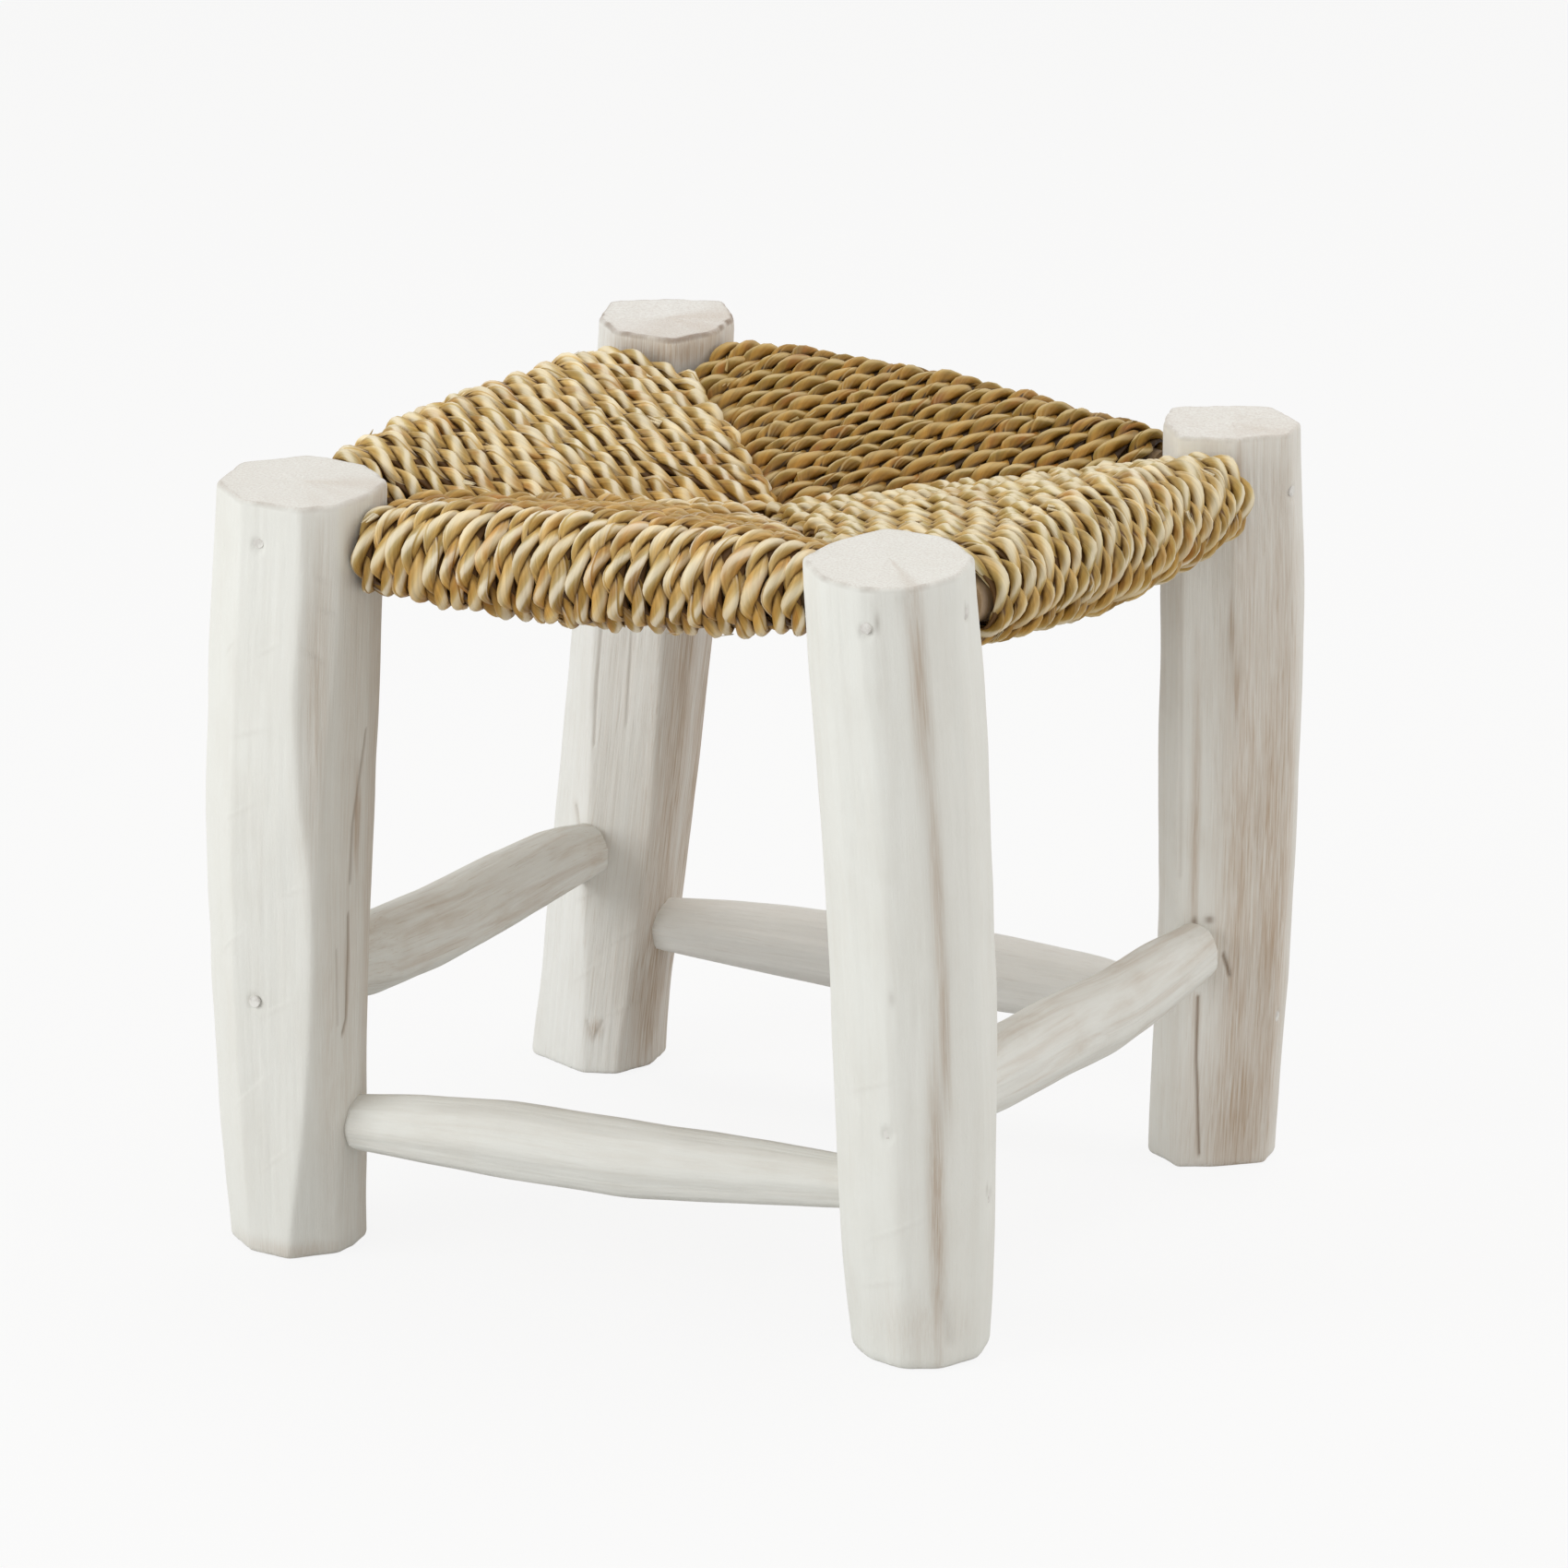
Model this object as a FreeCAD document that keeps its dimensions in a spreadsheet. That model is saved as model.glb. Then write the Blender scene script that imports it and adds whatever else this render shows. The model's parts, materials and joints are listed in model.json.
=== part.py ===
"""Low stool: four hewn legs, spindle seat rails, hewn stretchers and a corded seat.

Frame: +Z up, front side towards -Y, origin on the floor under the middle of the
stool. All lengths are millimetres.
"""
import FreeCAD
import Part
import math
import os
from collections import namedtuple

import Sketcher

OUT_DIR = "parts"

# Driving dimensions, one spreadsheet cell each
SIZES = {
    "leg_height": 330.0,
    "leg_span_x": 280.0,
    "leg_span_y": 284.0,
    "front_left_leg_radius": 36.5,
    "front_right_leg_radius": 35.4,
    "rear_right_leg_radius": 31.5,
    "rear_left_leg_radius": 31.0,
    "foot_ease": 3.0,
    "top_ease": 1.2,
    "rail_tenon_radius": 8.0,
    "rail_end_radius": 9.8,
    "front_rail_radius": 16.0,
    "right_rail_radius": 18.0,
    "rear_rail_radius": 15.5,
    "left_rail_radius": 15.5,
    "front_rail_drop_left": 26.0,
    "front_rail_drop_right": 14.0,
    "right_rail_drop_front": 22.0,
    "right_rail_drop_rear": 28.0,
    "rear_rail_drop_right": 32.0,
    "rear_rail_drop_left": 16.0,
    "left_rail_drop_rear": 18.0,
    "left_rail_drop_front": 14.0,
    "stretcher_tenon_radius": 8.0,
    "front_stretcher_radius": 17.0,
    "right_stretcher_radius": 18.5,
    "rear_stretcher_radius": 18.5,
    "left_stretcher_radius": 19.5,
    "front_stretcher_height_left": 52.0,
    "front_stretcher_height_right": 66.0,
    "right_stretcher_height_front": 101.5,
    "right_stretcher_height_rear": 98.0,
    "rear_stretcher_height_right": 66.0,
    "rear_stretcher_height_left": 64.0,
    "left_stretcher_height_rear": 99.0,
    "left_stretcher_height_front": 112.0,
    "tenon_stop": 12.0,
    "tenon_clearance": 0.3,
    "nail_radius": 1.2,
    "nail_head_radius": 2.4,
    "nail_head_height": 1.2,
    "nail_sink": 0.8,
    "nail_bite": 14.0,
    "nail_clearance": 0.2,
    "cord_diameter": 7.9,
    "cord_gap": 0.2,
    "wrap_clearance": 0.6,
    "seat_dip": 37.5,
    "layer_rise": 9.0,
    "overrun": 10.0,
}

# Leg outlines seen from above: angle in degrees from +X, and radius share
FRONT_LEFT_OUTLINE_SHARES = (
    (-150, 1.00), (-105, 0.97), (-60, 1.08), (-36, 1.04), (0, 0.95),
    (30, 1.00), (72, 1.00), (118, 1.04), (165, 1.08),
)
FRONT_RIGHT_OUTLINE_SHARES = (
    (-150, 1.00), (-108, 1.07), (-76, 1.17), (-48, 1.14), (-12, 1.02),
    (30, 1.00), (75, 1.00), (120, 1.10), (168, 0.86),
)
REAR_RIGHT_OUTLINE_SHARES = (
    (-150, 0.96), (-110, 1.02), (-60, 0.76), (-6, 0.98),
    (30, 0.98), (80, 0.98), (120, 0.80), (168, 1.14),
)
REAR_LEFT_OUTLINE_SHARES = (
    (-150, 0.98), (-108, 1.00), (-60, 1.12), (-14, 0.98),
    (30, 0.98), (74, 1.14), (120, 0.90), (166, 1.14),
)

# Heights at which each leg has a section, and the direction in which it bows
SECTION_HEIGHT_SHARES = (0.0, 0.1, 0.3, 0.55, 0.8, 1.0)
FOOT_EDGE_SHARE = 0.94
TOP_EDGE_SHARE = 0.965
BOW_DIRECTION_SHARES = (0.871, 0.492)

# Place of a cord course within its lap, and the most by which a course's volume may
# differ from its section times its length
LAP_MIDDLE_SHARE = 0.5
VOLUME_SHARE = 0.01

# Legs: side of the stool, radius, height share, shift of top and foot from the corner in
# radii, bow, width at each section, outline
Leg = namedtuple("Leg", "side radius height_share top_shares foot_shares bow_share width_shares "
                        "outline_shares")

LEGS = {
    "leg_front_left": Leg((-1, -1), "front_left_leg_radius", 1.0, (0.27, -0.18), (0.02, -0.11), -0.10,
                          (0.79, 0.85, 0.93, 1.00, 1.00, 0.96), FRONT_LEFT_OUTLINE_SHARES),
    "leg_front_right": Leg((1, -1), "front_right_leg_radius", 1.006, (-0.02, 0.00), (0.31, 0.32), 0.09,
                           (0.80, 0.87, 0.94, 0.97, 1.00, 0.99), FRONT_RIGHT_OUTLINE_SHARES),
    "leg_rear_right": Leg((1, 1), "rear_right_leg_radius", 0.992, (0.43, -0.23), (0.25, -0.13), 0.10,
                          (0.87, 0.91, 0.94, 1.00, 1.02, 0.95), REAR_RIGHT_OUTLINE_SHARES),
    "leg_rear_left": Leg((-1, 1), "rear_left_leg_radius", 1.02, (0.32, 0.25), (-0.42, -0.65), 0.03,
                         (0.96, 0.92, 0.96, 0.99, 1.00, 0.99), REAR_LEFT_OUTLINE_SHARES),
}

# Share of the way from the end radius to the middle radius along a spindle
SPINDLE_SHARES = ((0.0, 0.0), (0.2, 0.6), (0.5, 1.0), (0.8, 0.6), (1.0, 0.0))

# Rails: legs, middle radius, drops below the leg height, rise of each nail in tenon radii,
# and outward shift of each end in leg radii
Rail = namedtuple("Rail", "start end radius start_drop end_drop nail_shares outward_shares")

RAILS = {
    "rail_front": Rail("leg_front_left", "leg_front_right", "front_rail_radius",
                       "front_rail_drop_left", "front_rail_drop_right", (-0.25, -0.55), (0.0, 0.0)),
    "rail_right": Rail("leg_front_right", "leg_rear_right", "right_rail_radius",
                       "right_rail_drop_front", "right_rail_drop_rear", (0.60, -0.50), (0.30, 0.25)),
    "rail_rear": Rail("leg_rear_right", "leg_rear_left", "rear_rail_radius",
                      "rear_rail_drop_right", "rear_rail_drop_left", (0.60, 0.50), (0.0, 0.0)),
    "rail_left": Rail("leg_rear_left", "leg_front_left", "left_rail_radius",
                      "left_rail_drop_rear", "left_rail_drop_front", (-0.55, -0.60), (0.0, 0.0)),
}

# Stretcher sections: share of the length, radius share, and sideways and upward shift shares
FRONT_STRETCHER_SHARES = (
    (0.0, 0.72, 0.0, 0.10), (0.12, 0.86, 0.0, 0.12), (0.3, 1.02, 0.0, 0.10),
    (0.55, 1.02, 0.0, -0.05), (0.8, 0.84, 0.0, 0.0), (1.0, 0.66, 0.0, 0.0),
)
RIGHT_STRETCHER_SHARES = (
    (0.0, 0.84, 0.0, 0.0), (0.12, 0.98, 0.0, 0.0), (0.35, 1.00, 0.0, -0.05),
    (0.6, 0.99, 0.0, -0.20), (0.82, 0.92, 0.0, -0.06), (1.0, 0.76, 0.0, 0.0),
)
REAR_STRETCHER_SHARES = (
    (0.0, 0.60, 0.0, 0.0), (0.12, 0.86, 0.0, 0.0), (0.35, 1.00, 0.0, 0.05),
    (0.6, 0.98, 0.0, 0.0), (0.85, 0.84, 0.0, 0.05), (1.0, 0.70, 0.0, 0.0),
)
LEFT_STRETCHER_SHARES = (
    (0.0, 0.74, 0.0, 0.0), (0.12, 0.90, 0.0, 0.05), (0.35, 1.00, 0.0, -0.05),
    (0.6, 1.02, 0.0, -0.20), (0.85, 1.02, 0.0, -0.15), (1.0, 0.72, 0.0, -0.05),
)

# Stretcher outlines seen along the stick: angle from its side, and radius share
ROUND_STICK_OUTLINE_SHARES = (
    (10, 0.94), (55, 0.98), (90, 1.00), (130, 0.97), (175, 0.95), (225, 0.98), (270, 1.00), (318, 0.97),
)
FLAT_STICK_OUTLINE_SHARES = (
    (20, 0.80), (62, 0.98), (92, 1.00), (122, 0.97), (160, 0.80), (205, 0.82), (262, 1.00), (335, 0.84),
)

# Stretchers: legs, heights, radius, outward shift of each end in leg radii, and tables
Stretcher = namedtuple("Stretcher", "start end start_height end_height radius outward_shares "
                                    "section_shares outline_shares")

STRETCHERS = {
    "stretcher_front": Stretcher("leg_front_left", "leg_front_right",
                                 "front_stretcher_height_left", "front_stretcher_height_right",
                                 "front_stretcher_radius", (0.0, 0.0), FRONT_STRETCHER_SHARES,
                                 ROUND_STICK_OUTLINE_SHARES),
    "stretcher_right": Stretcher("leg_front_right", "leg_rear_right",
                                 "right_stretcher_height_front", "right_stretcher_height_rear",
                                 "right_stretcher_radius", (0.15, 0.0), RIGHT_STRETCHER_SHARES,
                                 FLAT_STICK_OUTLINE_SHARES),
    "stretcher_rear": Stretcher("leg_rear_right", "leg_rear_left",
                                "rear_stretcher_height_right", "rear_stretcher_height_left",
                                "rear_stretcher_radius", (0.0, 0.0), REAR_STRETCHER_SHARES,
                                ROUND_STICK_OUTLINE_SHARES),
    "stretcher_left": Stretcher("leg_rear_left", "leg_front_left",
                                "left_stretcher_height_rear", "left_stretcher_height_front",
                                "left_stretcher_radius", (0.0, 0.0), LEFT_STRETCHER_SHARES,
                                FLAT_STICK_OUTLINE_SHARES),
}

# Panels of the seat: the rail that each one wraps, in the order start corner to end corner
PANELS = {
    "seat_cord_front": "rail_front",
    "seat_cord_right": "rail_right",
    "seat_cord_rear": "rail_rear",
    "seat_cord_left": "rail_left",
}

Joint = namedtuple("Joint", "stick leg origin axis rise tenon_radius")

doc = FreeCAD.newDocument("stool")


def make_sheet():
    """Fill the spreadsheet with one named cell per driving dimension."""
    sheet = doc.addObject("Spreadsheet::Sheet", "Sizes")
    for row, (name, value) in enumerate(SIZES.items(), start=1):
        sheet.set("A%d" % row, name)
        sheet.set("B%d" % row, str(value))
        sheet.setAlias("B%d" % row, name)
    doc.recompute()
    return sheet


sheet = make_sheet()


def size(name):
    """Value of one driving dimension, read from the spreadsheet."""
    return float(getattr(sheet, name))


def between(low, high, share):
    """Value at a share of the way from low to high."""
    return low + (high - low) * share


def table_value(table, share, column):
    """Value of a column of a table of rows, whose first column runs from 0 to 1."""
    for lower, upper in zip(table, table[1:]):
        if share <= upper[0]:
            return between(lower[column], upper[column], (share - lower[0]) / (upper[0] - lower[0]))
    return table[-1][column]


def leg_shift_shares(leg, height_share):
    """Sideways shift of a leg's centre from its corner, in leg radii."""
    bow = leg.bow_share * 4 * height_share * (1 - height_share)
    return tuple(
        between(foot, top, height_share) + bow * direction
        for foot, top, direction in zip(leg.foot_shares, leg.top_shares, BOW_DIRECTION_SHARES)
    )


def leg_top(leg):
    """Height of a leg's top."""
    return size("leg_height") * leg.height_share


def leg_rows(leg):
    """Rows of height share, shift shares and width share, one for each section."""
    return [
        (share, *leg_shift_shares(leg, share), width)
        for share, width in zip(SECTION_HEIGHT_SHARES, leg.width_shares)
    ]


def leg_centre(leg, height):
    """Centre of a leg at a height."""
    rows = leg_rows(leg)
    share = height / leg_top(leg)
    radius = size(leg.radius)
    return FreeCAD.Vector(
        leg.side[0] * size("leg_span_x") / 2 + radius * table_value(rows, share, 1),
        leg.side[1] * size("leg_span_y") / 2 + radius * table_value(rows, share, 2),
        height,
    )


def leg_points(leg, height):
    """Corners of a leg's section at a height, from its centre."""
    width = table_value(leg_rows(leg), height / leg_top(leg), 3) * size(leg.radius)
    return [
        (width * share * math.cos(math.radians(angle)), width * share * math.sin(math.radians(angle)))
        for angle, share in leg.outline_shares
    ]


def leg_reach(leg, height, direction):
    """How far a leg's section reaches from its centre in a level direction."""
    return max(x * direction.x + y * direction.y for x, y in leg_points(leg, height))


def leg_skin(leg, place, direction):
    """Distance from a place inside a leg to its surface along a level direction."""
    centre = leg_centre(leg, place.z)
    points = [(x + centre.x - place.x, y + centre.y - place.y) for x, y in leg_points(leg, place.z)]
    for (ax, ay), (bx, by) in zip(points, points[1:] + points[:1]):
        edge_x, edge_y = bx - ax, by - ay
        cross = direction.x * edge_y - direction.y * edge_x
        if abs(cross) > 0:
            distance = (ax * edge_y - ay * edge_x) / cross
            along = (ax * direction.y - ay * direction.x) / cross
            if distance > 0 and 0 <= along <= 1:
                return distance
    return leg_reach(leg, place.z, direction)


def outward(stick, leg):
    """Level direction square to a rail or stretcher, pointing away from the stool's middle."""
    along_x = LEGS[stick.start].side[1] == LEGS[stick.end].side[1]
    return FreeCAD.Vector(0, leg.side[1], 0) if along_x else FreeCAD.Vector(leg.side[0], 0, 0)


def joint_pair(stick):
    """The joints at both ends of a rail or stretcher."""
    legs = [LEGS[stick.start], LEGS[stick.end]]
    if isinstance(stick, Rail):
        heights = [size("leg_height") - size(drop) for drop in (stick.start_drop, stick.end_drop)]
        tenon = size("rail_tenon_radius")
        rises = [tenon * share for share in stick.nail_shares]
    else:
        heights = [size(stick.start_height), size(stick.end_height)]
        tenon = size("stretcher_tenon_radius")
        rises = [0, 0]
    centres = [leg_centre(leg, height) + outward(stick, leg) * size(leg.radius) * share
               for leg, height, share in zip(legs, heights, stick.outward_shares)]
    axis = (centres[1] - centres[0]).normalize()
    return [
        Joint(stick, legs[0], centres[0], axis, rises[0], tenon),
        Joint(stick, legs[1], centres[1], axis.negative(), rises[1], tenon),
    ]


def stick_length(stick):
    """Distance between the leg centres that a stick joins."""
    start, end = joint_pair(stick)
    return (end.origin - start.origin).Length


def shoulder(joint):
    """Distance from the leg's centre to where the stick leaves the leg."""
    level = FreeCAD.Vector(joint.axis.x, joint.axis.y, 0).normalize()
    return leg_reach(joint.leg, joint.origin.z, level) + size("tenon_clearance")


def stick_placement(origin, axis):
    """Placement with local Z along the axis and local Y as near to up as it can be."""
    up = FreeCAD.Vector(0, 0, 1)
    side = up.cross(axis).normalize()
    rotation = FreeCAD.Rotation(side, axis.cross(side), axis, "ZXY")
    return FreeCAD.Placement(origin, rotation)


def origin_plane(body, role):
    """One of a body's origin planes."""
    return next(item for item in body.Origin.OriginFeatures if item.Role == role)


def closed_sketch(body, name, plane, corners, offset=None):
    """Closed sketch through corners, each a pair of (value, expression) pairs."""
    sketch = body.newObject("Sketcher::SketchObject", name)
    sketch.AttachmentSupport = [(origin_plane(body, plane), "")]
    sketch.MapMode = "FlatFace"
    if offset is not None:
        value, expression = offset
        sketch.AttachmentOffset = FreeCAD.Placement(FreeCAD.Vector(0, 0, value), FreeCAD.Rotation())
        if expression:
            sketch.setExpression("AttachmentOffset.Base.z", expression)
    points = [FreeCAD.Vector(x[0], y[0], 0) for x, y in corners]
    count = len(points)
    for index in range(count):
        sketch.addGeometry(Part.LineSegment(points[index], points[(index + 1) % count]), False)
    sketch.addConstraint([
        Sketcher.Constraint("Coincident", index, 2, (index + 1) % count, 1) for index in range(count)
    ])
    for index, pair in enumerate(corners):
        for kind, (value, expression) in zip(("DistanceX", "DistanceY"), pair):
            number = sketch.addConstraint(Sketcher.Constraint(kind, -1, 1, index, 1, value))
            if expression:
                sketch.setExpression("Constraints[%d]" % number, expression)
    return sketch


def add_cylinder(name, radius, radius_expression, start, end, axis, origin):
    """Cylinder about an axis, between two distances from a point on it."""
    cylinder = doc.addObject("Part::Cylinder", name)
    cylinder.Radius = radius
    cylinder.setExpression("Radius", radius_expression)
    cylinder.Height = end - start
    cylinder.Placement = stick_placement(origin + axis * start, axis)
    return cylinder


def nail_line(joint):
    """Point of the nail's line beside the joint's own point."""
    up = FreeCAD.Vector(0, 0, 1)
    side = up.cross(joint.axis).normalize()
    lift = joint.axis.cross(side)
    return joint.origin + lift * joint.rise


def nail_head_distance(joint):
    """Distance from the leg's centre to the outer face of the nail's head."""
    level = FreeCAD.Vector(-joint.axis.x, -joint.axis.y, 0).normalize()
    return leg_skin(joint.leg, nail_line(joint), level) - size("nail_sink")


def leg_cutters(name, joint):
    """Mortise, nail hole and sunk head seat that one joint makes in a leg."""
    clearance = size("nail_clearance")
    head = nail_head_distance(joint)
    tip = size("tenon_stop") - size("tenon_clearance")
    mortise = add_cylinder(name + "_mortise", joint.tenon_radius + size("tenon_clearance"),
                           ("Sizes.rail_tenon_radius" if isinstance(joint.stick, Rail)
                            else "Sizes.stretcher_tenon_radius") + " + Sizes.tenon_clearance",
                           tip, shoulder(joint) + size("overrun"), joint.axis, joint.origin)
    hole = add_cylinder(name + "_nail_hole", size("nail_radius") + clearance,
                        "Sizes.nail_radius + Sizes.nail_clearance",
                        -head, size("tenon_stop"), joint.axis, nail_line(joint))
    seat = add_cylinder(name + "_head_seat", size("nail_head_radius") + clearance,
                        "Sizes.nail_head_radius + Sizes.nail_clearance",
                        -head - size("overrun"), size("nail_head_height") - head,
                        joint.axis, nail_line(joint))
    return [mortise, hole, seat]


def make_leg(name, leg, joints):
    """Hewn leg: ruled loft through faceted sections, less its mortises and nail holes."""
    body = doc.addObject("PartDesign::Body", name + "_blank")
    height = leg_top(leg)
    foot_share = size("foot_ease") / height
    top_share = 1 - size("top_ease") / height
    levels = [(0, FOOT_EDGE_SHARE, "0 mm"), (foot_share, 1, "Sizes.foot_ease")]
    top = "Sizes.leg_height * %s" % leg.height_share
    levels += [(share, 1, "%s * %s" % (top, share)) for share in SECTION_HEIGHT_SHARES[1:-1]]
    levels += [(top_share, 1, top + " - Sizes.top_ease"), (1, TOP_EDGE_SHARE, top)]
    rows = leg_rows(leg)
    sketches = []
    for number, (share, edge_share, level_expression) in enumerate(levels):
        corners = []
        for angle, radius_share in leg.outline_shares:
            corner = []
            for column, turn in ((1, math.cos), (2, math.sin)):
                span = ("leg_span_x", "leg_span_y")[column - 1]
                side = leg.side[column - 1]
                radii = (table_value(rows, share, column)
                         + table_value(rows, share, 3) * edge_share * radius_share
                         * turn(math.radians(angle)))
                corner.append((side * size(span) / 2 + size(leg.radius) * radii,
                               "%d * Sizes.%s / 2 + Sizes.%s * %.6f" % (side, span, leg.radius, radii)))
            corners.append(tuple(corner))
        sketches.append(closed_sketch(body, "%s_section_%d" % (name, number), "XY_Plane", corners,
                                      (height * share, level_expression)))
    loft = body.newObject("PartDesign::AdditiveLoft", name + "_loft")
    loft.Profile = sketches[0]
    loft.Sections = sketches[1:]
    loft.Ruled = True
    cutters = []
    for number, joint in enumerate(joints):
        cutters += leg_cutters("%s_joint_%d" % (name, number), joint)
    tool = doc.addObject("Part::MultiFuse", name + "_cutters")
    tool.Shapes = cutters
    cut = doc.addObject("Part::Cut", name + "_cut")
    cut.Base = body
    cut.Tool = tool
    cut.Label = name
    return cut


def add_pilot(body, name, joint, level, sense):
    """Blind hole for a nail in the end of a stick, at a level along its axis."""
    hole = body.newObject("PartDesign::SubtractiveCylinder", name)
    hole.setExpression("Radius", "Sizes.nail_radius + Sizes.nail_clearance")
    depth = size("nail_bite") + size("nail_clearance")
    hole.Height = depth + size("overrun")
    start = level - size("overrun") if sense > 0 else level - depth
    hole.AttachmentSupport = [(origin_plane(body, "XY_Plane"), "")]
    hole.MapMode = "FlatFace"
    hole.AttachmentOffset = FreeCAD.Placement(FreeCAD.Vector(0, joint.rise, start), FreeCAD.Rotation())
    return hole


def make_rail(name, rail):
    """Spindle rail: turned profile with a round tenon and a pilot hole at each end."""
    start, end = joint_pair(rail)
    length = stick_length(rail)
    stop = size("tenon_stop")
    low, high = shoulder(start), length - shoulder(end)
    tenon = (size("rail_tenon_radius"), "Sizes.rail_tenon_radius")
    corners = [((0, None), (stop, "Sizes.tenon_stop")), (tenon, (stop, "Sizes.tenon_stop")),
               (tenon, (low, None))]
    for share, swell in SPINDLE_SHARES:
        radius = between(size("rail_end_radius"), size(rail.radius), swell)
        expression = ("Sizes.rail_end_radius + (Sizes.%s - Sizes.rail_end_radius) * %s"
                      % (rail.radius, swell))
        corners.append(((radius, expression), (between(low, high, share), None)))
    corners += [(tenon, (high, None)), (tenon, (length - stop, None)),
                ((0, None), (length - stop, None))]
    body = doc.addObject("PartDesign::Body", name + "_body")
    sketch = closed_sketch(body, name + "_profile", "XZ_Plane", corners)
    spin = body.newObject("PartDesign::Revolution", name + "_spin")
    spin.Profile = sketch
    spin.ReferenceAxis = (sketch, ["V_Axis"])
    spin.Angle = 360
    doc.recompute()
    add_pilot(body, name + "_pilot_start", start, stop, 1)
    add_pilot(body, name + "_pilot_end", end, length - stop, -1)
    body.Placement = stick_placement(start.origin, start.axis)
    body.Label = name
    return body


def make_stretcher(name, stretcher):
    """Hewn stretcher: ruled loft between the legs, with a round tenon at each end."""
    start, end = joint_pair(stretcher)
    length = stick_length(stretcher)
    stop = size("tenon_stop")
    low, high = shoulder(start), length - shoulder(end)
    body = doc.addObject("PartDesign::Body", name + "_body")
    sketches = []
    for number, (share, width, sideways, upward) in enumerate(stretcher.section_shares):
        corners = []
        for angle, radius_share in stretcher.outline_shares:
            across = sideways + width * radius_share * math.cos(math.radians(angle))
            rise = upward + width * radius_share * math.sin(math.radians(angle))
            corners.append(tuple(
                (size(stretcher.radius) * value, "Sizes.%s * %.6f" % (stretcher.radius, value))
                for value in (across, rise)
            ))
        sketches.append(closed_sketch(body, "%s_section_%d" % (name, number), "XY_Plane", corners,
                                      (between(low, high, share), None)))
    loft = body.newObject("PartDesign::AdditiveLoft", name + "_loft")
    loft.Profile = sketches[0]
    loft.Sections = sketches[1:]
    loft.Ruled = True
    doc.recompute()
    tenon_ends = {
        "_tenon_start": (stop, low + size("overrun")),
        "_tenon_end": (high - size("overrun"), length - stop),
    }
    for label, (level, end_level) in tenon_ends.items():
        tenon = body.newObject("PartDesign::AdditiveCylinder", name + label)
        tenon.setExpression("Radius", "Sizes.stretcher_tenon_radius")
        tenon.Height = end_level - level
        tenon.AttachmentSupport = [(origin_plane(body, "XY_Plane"), "")]
        tenon.MapMode = "FlatFace"
        tenon.AttachmentOffset = FreeCAD.Placement(FreeCAD.Vector(0, 0, level), FreeCAD.Rotation())
    doc.recompute()
    add_pilot(body, name + "_pilot_start", start, stop, 1)
    add_pilot(body, name + "_pilot_end", end, length - stop, -1)
    body.Placement = stick_placement(start.origin, start.axis)
    body.Label = name
    return body


def make_nail(name, joint):
    """Round nail driven through the leg into the end of the tenon, its head sunk."""
    head = nail_head_distance(joint)
    shank = add_cylinder(name + "_shank", size("nail_radius"), "Sizes.nail_radius",
                         size("nail_head_height") - head, size("tenon_stop") + size("nail_bite"),
                         joint.axis, nail_line(joint))
    cap = add_cylinder(name + "_head", size("nail_head_radius"), "Sizes.nail_head_radius",
                       -head, size("nail_head_height") - head, joint.axis, nail_line(joint))
    nail = doc.addObject("Part::Fuse", name + "_fuse")
    nail.Base = shank
    nail.Tool = cap
    nail.Label = name
    return nail


def seat_corner(leg):
    """Corner of the open seat beside a leg, clear of the leg at every height of the seat."""
    levels = (size("leg_height"), size("leg_height") * SECTION_HEIGHT_SHARES[-2])
    inward = (FreeCAD.Vector(-leg.side[0], 0, 0), FreeCAD.Vector(0, -leg.side[1], 0))
    places = []
    for axis, direction in enumerate(inward):
        edges = [
            abs(leg_centre(leg, level)[axis]) - leg_reach(leg, level, direction) - size("cord_gap")
            for level in levels
        ]
        places.append(leg.side[axis] * min(edges))
    return FreeCAD.Vector(places[0], places[1], 0)


def seat_layout():
    """Corners of the open seat, its middle point and the number of laps at each corner."""
    corners = {name: seat_corner(leg) for name, leg in LEGS.items()}
    middle = FreeCAD.Vector(0, 0, 0)
    for corner in corners.values():
        middle += corner * (1 / len(corners))
    reaches = [abs(corner[axis] - middle[axis]) for corner in corners.values() for axis in (0, 1)]
    laps = int(min(reaches) // (size("cord_diameter") + size("cord_gap")))
    return corners, middle, laps


def rail_radius(rail, distance):
    """Radius of a seat rail at a distance from its start leg's centre."""
    start, end = joint_pair(rail)
    low, high = shoulder(start), stick_length(rail) - shoulder(end)
    share = min(max((distance - low) / (high - low), 0), 1)
    swell = table_value(SPINDLE_SHARES, share, 1)
    return between(size("rail_end_radius"), size(rail.radius), swell)


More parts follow.
